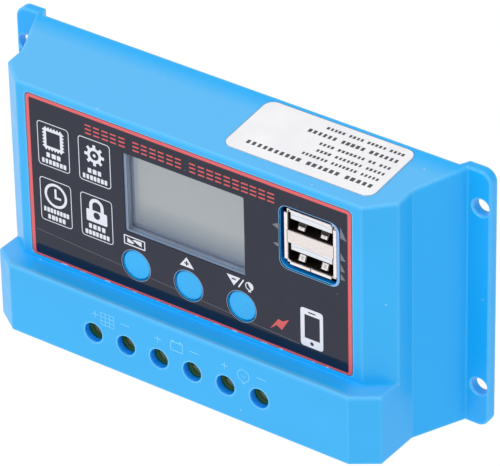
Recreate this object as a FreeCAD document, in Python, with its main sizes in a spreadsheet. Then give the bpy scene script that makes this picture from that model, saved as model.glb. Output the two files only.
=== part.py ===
import FreeCAD, Part
import os

import Sketcher
from FreeCAD import Placement, Rotation, Vector

# Wall-mounted charge controller, in millimetres.
# Frame: the rear mounting plane is y = 0 and the front panel faces -Y, +X is to the right
# and +Z is up.  The origin is the centre of the four mounting holes.  Because everything
# stands in front of the mounting plane, a "depth" below is a distance forward of it (-y).

DIMENSIONS = [
    # casing
    ("overall_width", 133.5, "across the outer edges of the mounting tabs"),
    ("flare_width", 121.2, "body width where it meets the tabs"),
    ("body_width", 109.3, "body width along the straight cheeks"),
    ("front_width", 96.6, "flat front between the chamfered corners"),
    ("bottom_drop", 35.0, "origin down to the flat bottom"),
    ("top_rise", 31.3, "origin up to the front edge of the top"),
    ("top_slope", 0.104, "rise of the top per millimetre towards the wall"),
    ("ledge_drop", 16.3, "origin down to the ledge above the terminal cover"),
    ("panel_depth", 26.4, "depth of the front panel plane"),
    ("cover_depth", 32.25, "depth of the terminal cover's front"),
    ("corner_depth", 5.4, "length of the panel corner chamfer along the depth"),
    ("cover_corner_depth", 4.4, "length of the cover corner chamfer along the depth"),
    ("flare_depth", 15.6, "depth where the cheeks start to flare"),
    ("wall", 2.0, "casing wall"),
    ("cover_wall", 1.8, "terminal cover's front wall"),
    ("edge_round", 0.75, "rounding of the outer edges"),
    ("corner_skew", 0.4, "share of the wall by which its inner front corner moves inward"),
    ("bend_skew", 0.25, "share of the wall by which the inner bend moves back"),
    ("flare_skew", 1.12, "wall across the flare, measured along X, as a share of the wall"),
    ("cut_over", 0.5, "how far an opening's cut runs past the wall"),
    # mounting tabs
    ("tab_thickness", 2.5, "mounting tab"),
    ("tab_round", 3.0, "outer corner radius of a tab"),
    ("tab_edge_round", 0.5, "rounding of a tab's front edges"),
    ("ear_front_across", 58.4, "inner end of a tab's upper corner, at its front"),
    ("ear_rear_across", 59.6, "inner end of a tab's upper corner, at the wall"),
    ("hole_span_wide", 128.1, "mounting hole spacing along X"),
    ("hole_span_high", 48.5, "mounting hole spacing along Z"),
    ("mounting_hole_radius", 2.1, "mounting hole"),
    ("hole_rim", 0.3, "chamfer round the mounting holes"),
    # front panel film and display window
    ("film_half_width", 45.65, "printed film, half its width"),
    ("film_bottom_drop", 15.0, "origin down to the film's lower edge"),
    ("film_top_rise", 29.3, "origin up to the film's upper edge"),
    ("film_thickness", 0.3, "printed film"),
    ("film_recess", 0.35, "recess that holds the film"),
    ("film_round", 1.3, "corner radius of the film"),
    ("film_gap", 0.1, "film edge to recess edge"),
    ("window_left", 17.75, "origin to the window's left edge"),
    ("window_right", 16.2, "origin to the window's right edge"),
    ("window_low", 1.2, "origin up to the window's lower edge"),
    ("window_high", 22.45, "origin up to the window's upper edge"),
    ("window_round", 0.4, "corner radius of the window"),
    ("pane_margin", 1.2, "pane edge beyond the window edge"),
    ("pane_thickness", 0.8, "clear pane"),
    # display
    ("holder_wall", 0.9, "display holder wall"),
    ("holder_lip", 1.0, "front lip of the display holder"),
    ("glass_margin", 2.0, "display glass beyond the window edge"),
    ("glass_thickness", 2.8, "display glass"),
    ("backlight_thickness", 3.0, "light guide behind the glass"),
    ("guide_inset", 0.6, "light guide's edge inside the glass edge"),
    ("display_pin_rise", 0.3, "pin row above the glass's lower edge"),
    ("display_pin_count", 14, "display pins in one row"),
    ("display_pin_pitch", 2.0, "display pin spacing"),
    ("display_pin_side", 0.5, "square display pin"),
    # push buttons
    ("button_pitch", 15.0, "button spacing"),
    ("button_drop", 7.45, "origin down to the button centres"),
    ("button_hole_radius", 4.08, "hole in the casing and film"),
    ("button_radius", 3.85, "button cap"),
    ("button_sink", 0.3, "cap face below the panel plane"),
    ("button_flange_radius", 4.9, "retaining flange behind the panel"),
    ("button_flange_thickness", 0.9, "retaining flange"),
    ("button_stem_radius", 2.4, "stem behind the flange"),
    ("button_edge_round", 0.45, "rounding of the cap edge"),
    ("play", 0.1, "play between parts that move or drop into each other"),
    ("plunger_depth", 21.0, "depth of the switch plunger's tip"),
    ("plunger_radius", 1.7, "switch plunger"),
    ("plunger_root_depth", 14.4, "depth of the plunger's inner end at rest"),
    ("switch_side", 6.0, "square switch base"),
    ("switch_height", 3.6, "switch base above the board"),
    ("switch_bore_depth", 1.9, "depth of the bore for the plunger"),
    ("switch_bore_radius", 1.77, "bore for the plunger"),
    ("switch_plate", 0.3, "steel plate on the switch base"),
    ("switch_leg_front", 1.2, "switch leg in front of the board"),
    ("switch_leg_span_wide", 6.7, "switch leg spacing along X"),
    ("switch_leg_span_high", 4.5, "switch leg spacing along Z"),
    # twin USB socket
    ("usb_centre", 34.2, "origin to the socket centre along X"),
    ("usb_rise", 16.3, "origin up to the socket centre"),
    ("usb_opening_width", 16.1, "opening in the film and casing"),
    ("usb_opening_height", 16.7, "opening in the film and casing"),
    ("usb_opening_round", 2.3, "corner radius of the opening"),
    ("usb_opening_shift", 0.2, "opening's middle left of the socket's"),
    ("usb_opening_drop", 0.25, "opening's middle below the socket's"),
    ("usb_face_width", 14.2, "front lip of the steel shell"),
    ("usb_face_height", 14.5, "front lip of the steel shell"),
    ("usb_face_sink", 0.35, "shell lip below the panel plane"),
    ("usb_lip", 0.5, "thickness of the front lip"),
    ("usb_notch_wide", 1.5, "corner notch that parts the four strips of the lip"),
    ("usb_notch_high", 1.1, "corner notch that parts the four strips of the lip"),
    ("usb_seam", 0.25, "seam in the middle of the lip's lower strip"),
    ("usb_shell_width", 13.3, "shell behind the lip"),
    ("usb_shell_height", 14.2, "shell behind the lip"),
    ("usb_port_width", 12.5, "one port"),
    ("usb_port_height", 5.1, "one port"),
    ("usb_port_lift", 0.1, "the two ports sit above the shell's middle"),
    ("usb_bar", 3.15, "steel bar between the ports"),
    ("usb_sheet", 0.4, "shell sheet"),
    ("usb_base", 4.2, "depth of the moulding that closes the shell"),
    ("tongue_width", 11.2, "contact tongue"),
    ("tongue_thickness", 1.8, "contact tongue"),
    ("tongue_gap", 0.25, "tongue below the port's roof"),
    ("tongue_sink", 0.5, "tongue tip behind the shell lip"),
    ("contact_pitch", 2.35, "contact spacing"),
    ("contact_width", 1.0, "contact strip"),
    ("contact_thickness", 0.3, "contact strip"),
    ("contact_sink", 0.6, "contact strip behind the tongue tip"),
    ("spring_width", 2.0, "shell spring finger"),
    ("spring_sheet", 0.24, "spring finger's sheet"),
    ("spring_sink", 0.1, "finger's foot let into the port floor"),
    ("spring_foot", 0.8, "length of the finger's foot"),
    ("spring_offset", 3.1, "spring finger from the port's centre line"),
    ("spring_rise", 1.9, "height of the finger's crown above the port floor"),
    ("spring_root", 9.0, "finger's root behind the shell lip"),
    ("spring_crown", 1.6, "finger's crown behind the shell lip"),
    ("spring_tip", 0.9, "finger's tip behind the shell lip"),
    ("spring_fall", 1.4, "finger's tip below its crown"),
    # screw terminals
    ("terminal_pitch", 9.5, "spacing of the six terminals"),
    ("terminal_count", 6, "number of terminals"),
    ("screw_drop", 26.2, "origin down to the terminal screws"),
    ("access_radius", 2.5, "screwdriver hole in the terminal cover"),
    ("access_rim", 0.3, "chamfer round the screwdriver holes"),
    ("block_front", 30.3, "depth of the terminal block's front"),
    ("block_top_drop", 19.8, "origin down to the block's top"),
    ("block_bottom_drop", 32.6, "origin down to the block's underside"),
    ("block_margin", 0.3, "block end beyond the last pitch"),
    ("mouth_radius", 2.15, "screwdriver mouth in the block"),
    ("head_pocket_radius", 2.5, "pocket for the screw head"),
    ("head_front", 29.3, "depth of the screw head's front"),
    ("head_thickness", 1.8, "screw head"),
    ("head_radius", 2.35, "screw head"),
    ("head_slot_width", 0.8, "screwdriver slot"),
    ("head_slot_depth", 0.8, "screwdriver slot"),
    ("shank_radius", 1.5, "terminal screw shank"),
    ("shank_clearance", 0.05, "shank to cage hole"),
    ("cell_half_width", 3.5, "half width of the cage cell"),
    ("cell_low_drop", 29.3, "origin down to the cell floor"),
    ("cell_high_drop", 22.8, "origin down to the cell roof"),
    ("cage_half_width", 3.3, "half width of the clamp cage"),
    ("cage_wall", 1.1, "clamp cage wall"),
    ("cage_front", 20.9, "depth of the open cage's front"),
    ("cage_rear", 12.4, "depth of the open cage's rear"),
    ("cage_half_height", 2.8, "half the cage's width along Z"),
    ("bar_front", 19.3, "depth of the conductor bar's front"),
    ("bar_thickness", 1.0, "conductor bar"),
    ("bar_half_width", 1.9, "half width of the conductor bar"),
    ("bar_low_gap", 0.3, "bar's lower end above the cell floor"),
    ("bar_top_drop", 20.4, "origin down to the bar's folded end"),
    ("tail_half_width", 0.8, "half width of the solder tail"),
    ("wire_entry_half_width", 2.5, "half width of the block's wire entry"),
    ("wire_entry_front", 18.3, "depth of the wire entry's front edge"),
    ("wire_entry_rear", 13.5, "depth of the wire entry's rear edge"),
    ("entry_margin", 0.5, "casing opening beyond the wire entry"),
    # circuit board
    ("board_half_width", 47.0, "half width of the circuit board"),
    ("board_bottom_drop", 31.9, "origin down to the board's lower edge"),
    ("board_top_rise", 29.2, "origin up to the board's upper edge"),
    ("board_front", 12.0, "depth of the board's front face"),
    ("board_thickness", 1.6, "circuit board"),
    ("tail_length", 0.7, "lead length behind the board"),
    ("drill_clearance", 0.15, "board hole around a lead"),
    ("board_boss_radius", 2.8, "casing boss that carries the board"),
    ("board_boss_high_across", 44.0, "upper board boss from the centre"),
    ("board_boss_low_across", 42.5, "lower board boss from the centre"),
    ("board_boss_high_rise", 26.4, "upper board boss height"),
    ("board_boss_low_drop", 13.2, "lower board boss height"),
    ("boss_root", 0.2, "boss let into the panel wall"),
    ("board_screw_radius", 1.1, "board screw shank"),
    ("board_screw_head_radius", 2.1, "board screw head"),
    ("board_screw_head", 1.5, "board screw head thickness"),
    ("board_screw_length", 7.0, "board screw shank length"),
    # rear heat sink
    ("plate_rear", 2.6, "depth of the heat sink plate's rear face"),
    ("plate_front", 4.6, "depth of the heat sink plate's front face"),
    ("plate_inset", 2.4, "plate edge inside the flared rear edge"),
    ("plate_rim", 1.1, "casing left around the plate, top and bottom"),
    ("plate_gap", 0.15, "plate edge to its rebate"),
    ("fin_count", 17, "cooling fins"),
    ("fin_pitch", 5.2, "fin spacing"),
    ("fin_thickness", 1.4, "fin"),
    ("fin_rear", 0.4, "depth of the fin tips"),
    ("fin_root", 0.2, "fin let into the plate"),
    ("fin_half_height", 27.5, "half the fin length"),
    ("cover_boss_radius", 3.0, "casing boss for the heat sink screws"),
    ("cover_boss_across", 50.6, "heat sink screw from the centre"),
    ("cover_boss_rise", 26.6, "upper heat sink screw height"),
    ("cover_boss_drop", 28.0, "lower heat sink screw height"),
    ("cover_boss_front", 18.0, "depth of the boss's front end"),
    ("cover_screw_radius", 1.3, "heat sink screw shank"),
    ("cover_screw_head_radius", 2.7, "countersunk head"),
    ("cover_screw_head", 1.3, "countersunk head height"),
    ("cover_screw_length", 10.0, "heat sink screw length"),
    ("screw_tip_gap", 0.5, "screw tip to the end of its pilot hole"),
    ("screw_gap", 0.08, "screw to its pilot hole"),
    # parts on the board
    ("pad_thickness", 0.4, "insulating pad on the heat sink"),
    ("transistor_width", 10.0, "power transistor"),
    ("transistor_height", 9.0, "moulded body height"),
    ("transistor_thickness", 4.4, "moulded body and tab"),
    ("transistor_drop", 4.0, "origin down to the moulded body"),
    ("tab_metal", 1.3, "transistor tab"),
    ("tab_rise", 6.6, "tab above the moulded body"),
    ("tab_hole_radius", 1.8, "hole in the transistor tab"),
    ("tab_screw_radius", 1.4, "transistor screw shank"),
    ("tab_screw_head_radius", 2.6, "transistor screw head"),
    ("tab_screw_head", 1.5, "transistor screw head thickness"),
    ("tab_screw_depth", 1.2, "transistor screw into the heat sink plate"),
    ("tap_clearance", 0.05, "transistor screw to its tapped hole"),
    ("tap_depth", 1.4, "tapped hole in the heat sink plate"),
    ("pad_over", 1.0, "insulating pad beyond the transistors"),
    ("lead_side", 0.7, "square transistor lead"),
    ("lead_pitch", 2.54, "lead spacing"),
    ("lead_stand", 2.64, "lead row in front of the insulating pad"),
    ("lead_sink", 0.05, "lead end behind the board's front face"),
    ("lead_drop", 8.6, "origin down to the bent leads"),
    ("capacitor_length", 11.0, "capacitor can"),
    ("capacitor_seal", 0.5, "rubber seal under the can"),
    ("capacitor_groove", 0.5, "depth of the rolled neck and of the top bevel"),
    ("capacitor_lead_share", 0.4, "lead from the centre, as a share of the can's radius"),
    ("wire_radius", 0.35, "component lead"),
    ("inductor_radius", 5.0, "inductor core"),
    ("inductor_height", 8.0, "inductor core"),
    ("inductor_cheek", 1.2, "inductor core's end cheeks"),
    ("inductor_coil_inset", 0.4, "winding inside the cheeks' rim"),
    ("inductor_lead_across", 3.0, "inductor lead from the inductor's centre"),
    ("inductor_across", 33.5, "inductor from the centre"),
    ("inductor_rise", -0.5, "inductor height"),
    ("diode_radius", 2.5, "protection diode"),
    ("diode_length", 9.0, "protection diode"),
    ("diode_wire_radius", 0.56, "diode lead"),
    ("diode_wire_reach", 1.6, "diode lead beyond the body"),
    ("diode_bend_inset", 0.8, "lead's upright part inside its end"),
    ("diode_across", 24.0, "diode from the centre"),
    ("diode_drop", 14.6, "origin down to the diodes"),
    ("diode_depth", 15.0, "depth of the diode axis"),
    ("shunt_radius", 0.75, "current shunt wire"),
    ("shunt_half_span", 7.0, "half the shunt's span"),
    ("shunt_overhang", 1.0, "bridge beyond its legs"),
    ("shunt_drop", 14.6, "origin down to the shunt"),
    ("shunt_depth", 17.0, "depth of the shunt's bridge"),
    ("chip_stand", 0.15, "chip above the board"),
    ("chip_thickness", 1.5, "chip body"),
    ("chip_lead_reach", 1.0, "chip lead beyond the body"),
    ("chip_lead_share", 0.36, "lead width as a share of the lead spacing"),
    ("resistor_length", 2.0, "chip resistor"),
    ("resistor_width", 1.2, "chip resistor"),
    ("resistor_height", 0.6, "chip resistor"),
    ("resistor_pitch", 2.4, "chip resistor spacing"),
    ("resistor_low_drop", 10.0, "origin down to the lowest chip resistors"),
    # rating label
    ("label_left", 7.45, "origin to the label's left edge"),
    ("label_right", 48.2, "origin to the label's right edge"),
    ("label_front", 22.7, "depth of the label's front edge"),
    ("label_rear", 3.6, "depth of the label's rear edge"),
    ("label_round", 2.6, "corner radius of the label"),
    ("label_thickness", 0.12, "label"),
    ("label_gap", 0.004, "adhesive film between the label and the casing"),
]

# centres of the four power transistors along X
POWER_TRANSISTORS_ACROSS = (-37.0, -22.5, 22.5, 37.0)

# across, up and radius of each capacitor can
CAPACITORS = ((-33.5, 18.0, 5.0), (-33.5, 6.2, 4.0))

# name, (across, up, width, height) and leads per side of each chip, the controller first
CHIPS = (
    ("controller", (-33.5, -5.5, 7.5, 12.8), 10),
    ("regulator", (41.8, 3.0, 3.9, 4.9), 4),
    ("driver", (-13.0, -14.9, 3.9, 4.9), 4),
)

# left edges of the two columns of chip resistors
RESISTOR_COLUMNS = (-44.0, -26.0)
RESISTORS_PER_COLUMN = 5

doc = FreeCAD.newDocument("charge_controller")
sheet = doc.addObject("Spreadsheet::Sheet", "Sizes")


class Size:
    """A length that knows its value and the sheet expression that gives it."""

    def __init__(self, number, text):
        self.number = number
        self.text = text

    def joined(self, other, sign, number):
        return Size(number, f"({self.text} {sign} {size(other).text})")

    def __add__(self, other):
        return self.joined(other, "+", self.number + size(other).number)

    def __sub__(self, other):
        return self.joined(other, "-", self.number - size(other).number)

    def __mul__(self, other):
        return self.joined(other, "*", self.number * size(other).number)

    def __truediv__(self, other):
        return self.joined(other, "/", self.number / size(other).number)

    def __rsub__(self, other):
        return size(other) - self

    def __rmul__(self, other):
        return size(other) * self

    def __neg__(self):
        return Size(-self.number, f"(0 - {self.text})")


def size(value):
    """Wraps a plain number so that it can stand beside the sheet's sizes."""
    if isinstance(value, Size):
        return value
    return Size(float(value), repr(float(value)))


class Sizes:
    """The sheet's sizes by name."""


S = Sizes()
for row, (alias, number, meaning) in enumerate(DIMENSIONS, 1):
    sheet.set(f"A{row}", alias.replace("_", " "))
    sheet.set(f"B{row}", str(number))
    sheet.setAlias(f"B{row}", alias)
    sheet.set(f"C{row}", meaning)
    setattr(S, alias, Size(float(number), f"Sizes.{alias}"))
doc.recompute()

PI = 3.141592653589793

# half a square lead's diagonal, with a little room, as a share of its side
SQUARE_REACH = 0.75

ZERO = size(0)
subparts = []
board_drills = []


# ---------------------------------------------------------------- helpers


def keep(item, label):
    """Marks a finished sub-part and gives it the name of its file."""
    item.Label = label
    subparts.append(item)
    return item


def bind(item, path, value):
    item.setExpression(path, size(value).text)


def new_body(name):
    return doc.addObject("PartDesign::Body", name)


def origin_feature(body, role):
    return next(f for f in body.Origin.OriginFeatures if f.Role == role)


def sketch_on(body, role, offset=ZERO, shift=ZERO):
    """A sketch on one of the body's own planes, offset along its normal (-Y for XZ_Plane)."""
    sketch = body.newObject("Sketcher::SketchObject", body.Name + "_sketch")
    sketch.AttachmentSupport = [(origin_feature(body, role), "")]
    sketch.MapMode = "FlatFace"
    bind(sketch, "AttachmentOffset.Base.y", shift)
    bind(sketch, "AttachmentOffset.Base.z", offset)
    return sketch


def pin_point(sketch, geometry, point, across, up):
    """Fixes a point of the sketch at sheet distances from the sketch's origin."""
    for kind, value in (("DistanceX", across), ("DistanceY", up)):
        constraint = Sketcher.Constraint(kind, -1, 1, geometry, point, size(value).number)
        index = sketch.addConstraint(constraint)
        bind(sketch, f"Constraints[{index}]", value)


def outline(sketch, corners):
    """A closed outline of straight edges through the given corners."""
    first = sketch.GeometryCount
    count = len(corners)
    spots = [Vector(size(x).number, size(y).number, 0) for x, y in corners]
    for i in range(count):
        sketch.addGeometry(Part.LineSegment(spots[i], spots[(i + 1) % count]), False)
    for i in range(count):
        after = first + (i + 1) % count
        sketch.addConstraint(Sketcher.Constraint("Coincident", first + i, 2, after, 1))
    for i, (x, y) in enumerate(corners):
        pin_point(sketch, first + i, 1, x, y)


def rectangle(sketch, left, right, low, high):
    outline(sketch, [(left, low), (right, low), (right, high), (left, high)])


def circle(sketch, across, up, radius):
    centre = Vector(size(across).number, size(up).number, 0)
    index = sketch.addGeometry(Part.Circle(centre, Vector(0, 0, 1), size(radius).number), False)
    pin_point(sketch, index, 3, across, up)
    constraint = Sketcher.Constraint("Radius", index, size(radius).number)
    bind(sketch, f"Constraints[{sketch.addConstraint(constraint)}]", radius)


def rounded_rectangle(sketch, left, right, low, high, radius):
    """A rectangle with four equal corner arcs; the arc centres are pinned to the sheet."""
    first = sketch.GeometryCount
    r = size(radius).number
    corners = [
        (right - radius, high - radius, 0.0),
        (left + radius, high - radius, 0.5),
        (left + radius, low + radius, 1.0),
        (right - radius, low + radius, 1.5),
    ]
    arcs = []
    for across, up, turn in corners:
        centre = Vector(across.number, up.number, 0)
        full = Part.Circle(centre, Vector(0, 0, 1), r)
        start = turn * PI
        arcs.append(sketch.addGeometry(Part.ArcOfCircle(full, start, start + PI / 2), False))
    for i in range(4):
        here = sketch.Geometry[arcs[i]].EndPoint
        there = sketch.Geometry[arcs[(i + 1) % 4]].StartPoint
        sketch.addGeometry(Part.LineSegment(here, there), False)
    for i in range(4):
        line = first + 4 + i
        sketch.addConstraint(Sketcher.Constraint("Tangent", arcs[i], 2, line, 1))
        sketch.addConstraint(Sketcher.Constraint("Tangent", line, 2, arcs[(i + 1) % 4], 1))
    for i, (across, up, _) in enumerate(corners):
        if i == 0:
            pin_point(sketch, arcs[0], 3, across, up)
            index = sketch.addConstraint(Sketcher.Constraint("Radius", arcs[0], r))
            bind(sketch, f"Constraints[{index}]", radius)
        else:
            sketch.addConstraint(Sketcher.Constraint("Equal", arcs[0], arcs[i]))
    pin_point(sketch, arcs[2], 3, corners[2][0], corners[2][1])
    sketch.addConstraint(Sketcher.Constraint("Horizontal", first + 4))
    sketch.addConstraint(Sketcher.Constraint("Vertical", first + 5))


def mirrored(half):
    """The corners of a right-hand half outline, followed by their mirror images."""
    return half + [(-x, y) for x, y in reversed(half)]


def pad(body, sketch, length, symmetric=False, name="pad"):
    """Adds material along the sketch's normal."""
    feature = body.newObject("PartDesign::Pad", f"{body.Name}_{name}")
    feature.Profile = sketch
    bind(feature, "Length", length)
    if symmetric:
        feature.SideType = "Symmetric"
    sketch.Visibility = False
    doc.recompute()
    return feature


def pocket(body, sketch, length, forward=False, symmetric=False, name="pocket"):
    """Cuts against the sketch's normal, or along it if forward, and checks that it cut."""
    before = body.Shape.Volume
    feature = body.newObject("PartDesign::Pocket", f"{body.Name}_{name}")
    feature.Profile = sketch
    bind(feature, "Length", length)
    feature.Reversed = forward
    if symmetric:
        feature.SideType = "Symmetric"
    sketch.Visibility = False
    doc.recompute()
    if body.Shape.Volume >= before:
        raise RuntimeError(f"{feature.Name} cut nothing")
    return feature


def repeat_across(body, features, pitch, count, name="row"):
    """Repeats features along X; the body then ends with the pattern."""
    pattern = body.newObject("PartDesign::LinearPattern", f"{body.Name}_{name}")
    pattern.Originals = features
    pattern.Direction = (origin_feature(body, "X_Axis"), [""])
    pattern.Mode = "Spacing"
    bind(pattern, "Offset", pitch)
    bind(pattern, "Occurrences", count)
    body.Tip = pattern
    doc.recompute()
    return pattern


def soften(body, radius, wanted, kind="PartDesign::Fillet", name="soft"):
    """Rounds (or chamfers) the edges of the body's tip that the test picks."""
    base = body.Tip
    names = [f"Edge{i}" for i, edge in enumerate(base.Shape.Edges, 1) if wanted(edge)]
    feature = body.newObject(kind, f"{body.Name}_{name}")
    feature.Base = (base, names)
    bind(feature, "Radius" if kind.endswith("Fillet") else "Size", radius)
    doc.recompute()
    return feature


def turned(name, across, up, profile):
    """A round piece on an axis along Y: (depth, radius) corners revolved about that axis."""
    body = new_body(name)
    sketch = sketch_on(body, "YZ_Plane", offset=across, shift=up)
    outline(sketch, [(-size(depth), radius) for depth, radius in profile])
    turn = body.newObject("PartDesign::Revolution", name + "_turn")
    turn.Profile = sketch
    turn.ReferenceAxis = (sketch, ["H_Axis"])
    turn.Angle = 360
    sketch.Visibility = False
    doc.recompute()
    return body


def block(name, left, right, front, rear, low, high):
    """A plain box between two X values, two depths and two heights."""
    box = doc.addObject("Part::Box", name)
    bind(box, "Length", right - left)
    bind(box, "Width", front - rear)
    bind(box, "Height", high - low)
    bind(box, "Placement.Base.x", left)
    bind(box, "Placement.Base.y", -size(front))
    bind(box, "Placement.Base.z", low)
    return box


def rod(name, across, up, front, rear, radius):
    """A plain cylinder along Y between two depths."""
    cylinder = doc.addObject("Part::Cylinder", name)
    cylinder.Placement = Placement(Vector(), Rotation(Vector(1, 0, 0), -90))
    bind(cylinder, "Radius", radius)
    bind(cylinder, "Height", front - rear)
    bind(cylinder, "Placement.Base.x", across)
    bind(cylinder, "Placement.Base.y", -size(front))
    bind(cylinder, "Placement.Base.z", up)
    return cylinder


def cross_rod(name, left, right, depth, up, radius):
    """A plain cylinder along X."""
    cylinder = doc.addObject("Part::Cylinder", name)
    cylinder.Placement = Placement(Vector(), Rotation(Vector(0, 1, 0), 90))
    bind(cylinder, "Radius", radius)
    bind(cylinder, "Height", right - left)
    bind(cylinder, "Placement.Base.x", left)
    bind(cylinder, "Placement.Base.y", -size(depth))
    bind(cylinder, "Placement.Base.z", up)
    return cylinder


def fused(name, pieces):
    union = doc.addObject("Part::MultiFuse", name)
    union.Shapes = pieces
    union.Refine = True
    return union


def cut(name, base, tool):
    result = doc.addObject("Part::Cut", name)
    result.Base = base
    result.Tool = tool
    return result


def grouped(name, pieces):
    """Separate identical pieces that share one node."""
    group = doc.addObject("Part::Compound", name)
    group.Links = pieces
    return group


def drill_board(across, up, radius):
    """Notes a hole that the board needs for a lead of this radius."""
    board_drills.append((across, up, radius + S.drill_clearance))


# ---------------------------------------------------------------- derived places

tab_top = S.top_rise + S.top_slope * (S.panel_depth - S.tab_thickness)
board_rear = S.board_front - S.board_thickness
lead_end = board_rear - S.tail_length
front_half = S.front_width / 2
body_half = S.body_width / 2
flare_half = S.flare_width / 2
first_terminal = -S.terminal_pitch * (S.terminal_count - 1) / 2
film_floor = S.panel_depth - S.film_recess
pane_floor = film_floor - S.pane_thickness
inner_face = S.panel_depth - S.wall
usb_front = S.panel_depth - S.usb_face_sink
usb_base_front = S.board_front + S.usb_base
glass_front = inner_face - S.holder_lip
glass_rear = glass_front - S.glass_thickness
plate_half_width = flare_half - S.plate_inset
tab_shoulder = tab_top - S.wall
plate_low = S.plate_rim - S.bottom_drop
plate_high = tab_top - S.plate_rim
transistor_rear = S.plate_front + S.pad_thickness


def terminal_across(index):
    return first_terminal + S.terminal_pitch * index


def button_across(index):
    return S.button_pitch * (index - 1)


# ---------------------------------------------------------------- casing


def casing_block(body):
    """Upper body: chamfered front corners, straight cheeks, flared towards the wall."""
    plan = sketch_on(body, "XY_Plane", -S.bottom_drop)
    half = [
        (front_half, -S.panel_depth),
        (body_half, S.corner_depth - S.panel_depth),
        (body_half, -S.flare_depth),
        (flare_half, -S.tab_thickness),
    ]
    outline(plan, mirrored(half))
    pad(body, plan, tab_top + S.bottom_drop, name="block")
    side = sketch_on(body, "YZ_Plane")
    ahead = S.panel_depth + 1
    above = S.top_rise + S.tab_round * 3
    slope = [
        (-ahead, S.top_rise - S.top_slope),
        (ZERO, S.top_rise + S.top_slope * S.panel_depth),
        (ZERO, above),
        (-ahead, above),
    ]
    outline(side, slope)
    pocket(body, side, S.overall_width, symmetric=True, name="sloping_top")


def terminal_cover(body):
    """Lower front step that covers the terminal block."""
    plan = sketch_on(body, "XY_Plane", -S.bottom_drop)
    half = [
        (front_half, -S.cover_depth),
        (body_half, S.cover_corner_depth - S.cover_depth),
        (body_half, S.corner_depth - S.panel_depth),
    ]
    outline(plan, mirrored(half))
    pad(body, plan, S.bottom_drop - S.ledge_drop, name="cover")


def mounting_tabs(body):
    """Side tabs in the mounting plane, up to the height where the rear opening ends."""
    sketch = sketch_on(body, "XZ_Plane")
    tip = S.overall_width / 2
    for side in (-1, 1):
        inner = plate_half_width * side
        outer = tip * side
        left, right = (inner, outer) if side > 0 else (outer, inner)
        rectangle(sketch, left, right, -S.bottom_drop, tab_shoulder)
    pad(body, sketch, S.tab_thickness, name="tabs")


def casing_rounding(body):
    """Rounds the lower tab corners, then every outer edge forward of the tabs."""
    tip = S.overall_width.number / 2
    tab_front = -S.tab_thickness.number - 1
    ledge = -S.ledge_drop.number

    def low_tab_corner(edge):
        box = edge.BoundBox
        at_tip = abs(abs(box.Center.x) - tip) < 0.01
        return at_tip and box.YLength > 1 and box.ZLength < 0.01 and box.ZMax < 0

    def outer_edge(edge):
        box = edge.BoundBox
        upright = box.ZLength > 2 and box.XLength < 0.01 and box.YLength < 0.01
        if upright:
            return box.YMax < tab_front
        on_ledge = abs(box.ZMax - ledge) < 0.01 and box.ZLength < 0.01
        if on_ledge:
            return box.YMin < -S.panel_depth.number - 0.5
        on_floor = box.ZMax < 0.1 - S.bottom_drop.number
        on_top = box.ZMin > S.top_rise.number - 0.2
        return (on_floor or on_top) and box.YMin < tab_front

    soften(body, S.tab_round, low_tab_corner, name="low_tab_corners")
    soften(body, S.edge_round, outer_edge, name="outer_edges")


def mounting_ears(body):
    """Upper corners of the tabs: they rise to the top's rear edge, their ends cut askew."""
    tip = S.overall_width / 2
    plan = sketch_on(body, "XY_Plane", tab_shoulder)
    half = [
        (S.ear_front_across, -S.tab_thickness),
        (tip, -S.tab_thickness),
        (tip, ZERO),
        (S.ear_rear_across, ZERO),
    ]
    outline(plan, half)
    outline(plan, [(-x, y) for x, y in half])
    pad(body, plan, tab_top - tab_shoulder, name="ears")

    def high_tab_corner(edge):
        box = edge.BoundBox
        at_tip = abs(abs(box.Center.x) - tip.number) < 0.01
        return at_tip and box.YLength > 1 and box.ZLength < 0.01 and box.ZMax > 0

    def tab_side(edge):
        box = edge.BoundBox
        at_tip = abs(abs(box.Center.x) - tip.number) < 0.01
        return at_tip and box.YMax < 0.1 - S.tab_thickness.number and box.ZLength > 5

    soften(body, S.tab_round, high_tab_corner, name="high_tab_corners")
    soften(body, S.tab_edge_round, tab_side, name="tab_edges")


def casing_hollow(body):
    """Hollows the casing from behind, leaving the wall thickness all round."""
    skew = S.wall * S.corner_skew
    plan = sketch_on(body, "XY_Plane", S.wall - S.bottom_drop)
    half = [
        (front_half - skew, -inner_face),
        (body_half - S.wall, S.corner_depth + skew - S.panel_depth),
        (body_half - S.wall, S.wall * S.bend_skew - S.flare_depth),
        (flare_half - S.wall * S.flare_skew, -S.tab_thickness),
    ]
    outline(plan, mirrored(half))
    pocket(body, plan, S.top_rise + S.bottom_drop - S.wall * 2, forward=True, name="cavity")
    roof = sketch_on(body, "YZ_Plane")
    ceiling = S.top_rise - S.wall
    wedge = [
        (-inner_face, ceiling - 0.5),
        (-S.tab_thickness, ceiling - 0.5),
        (-S.tab_thickness, ceiling + S.top_slope * (S.panel_depth - S.tab_thickness)),
        (-inner_face, ceiling + S.top_slope * S.wall),
    ]
    outline(roof, wedge)
    pocket(body, roof, (front_half - skew) * 2, symmetric=True, name="roof")
    bay = sketch_on(body, "XY_Plane", S.wall - S.bottom_drop)
    half = [
        (front_half - skew, S.cover_wall - S.cover_depth),
        (body_half - S.wall, S.cover_corner_depth + skew - S.cover_depth),
        (body_half - S.wall, S.corner_depth + skew - S.panel_depth),
    ]
    outline(bay, mirrored(half))
    bay_height = S.bottom_drop - S.ledge_drop - S.wall * 2
    pocket(body, bay, bay_height, forward=True, name="terminal_bay")
    rebate = sketch_on(body, "XZ_Plane", S.tab_thickness)
    rectangle(rebate, -plate_half_width, plate_half_width, plate_low, plate_high)
    pocket(body, rebate, S.plate_front - S.tab_thickness, forward=True, name="plate_rebate")


def corner_spots(high_across, low_across, rise, drop):
    return [(high_across, rise), (-high_across, rise), (low_across, -drop), (-low_across, -drop)]


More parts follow.
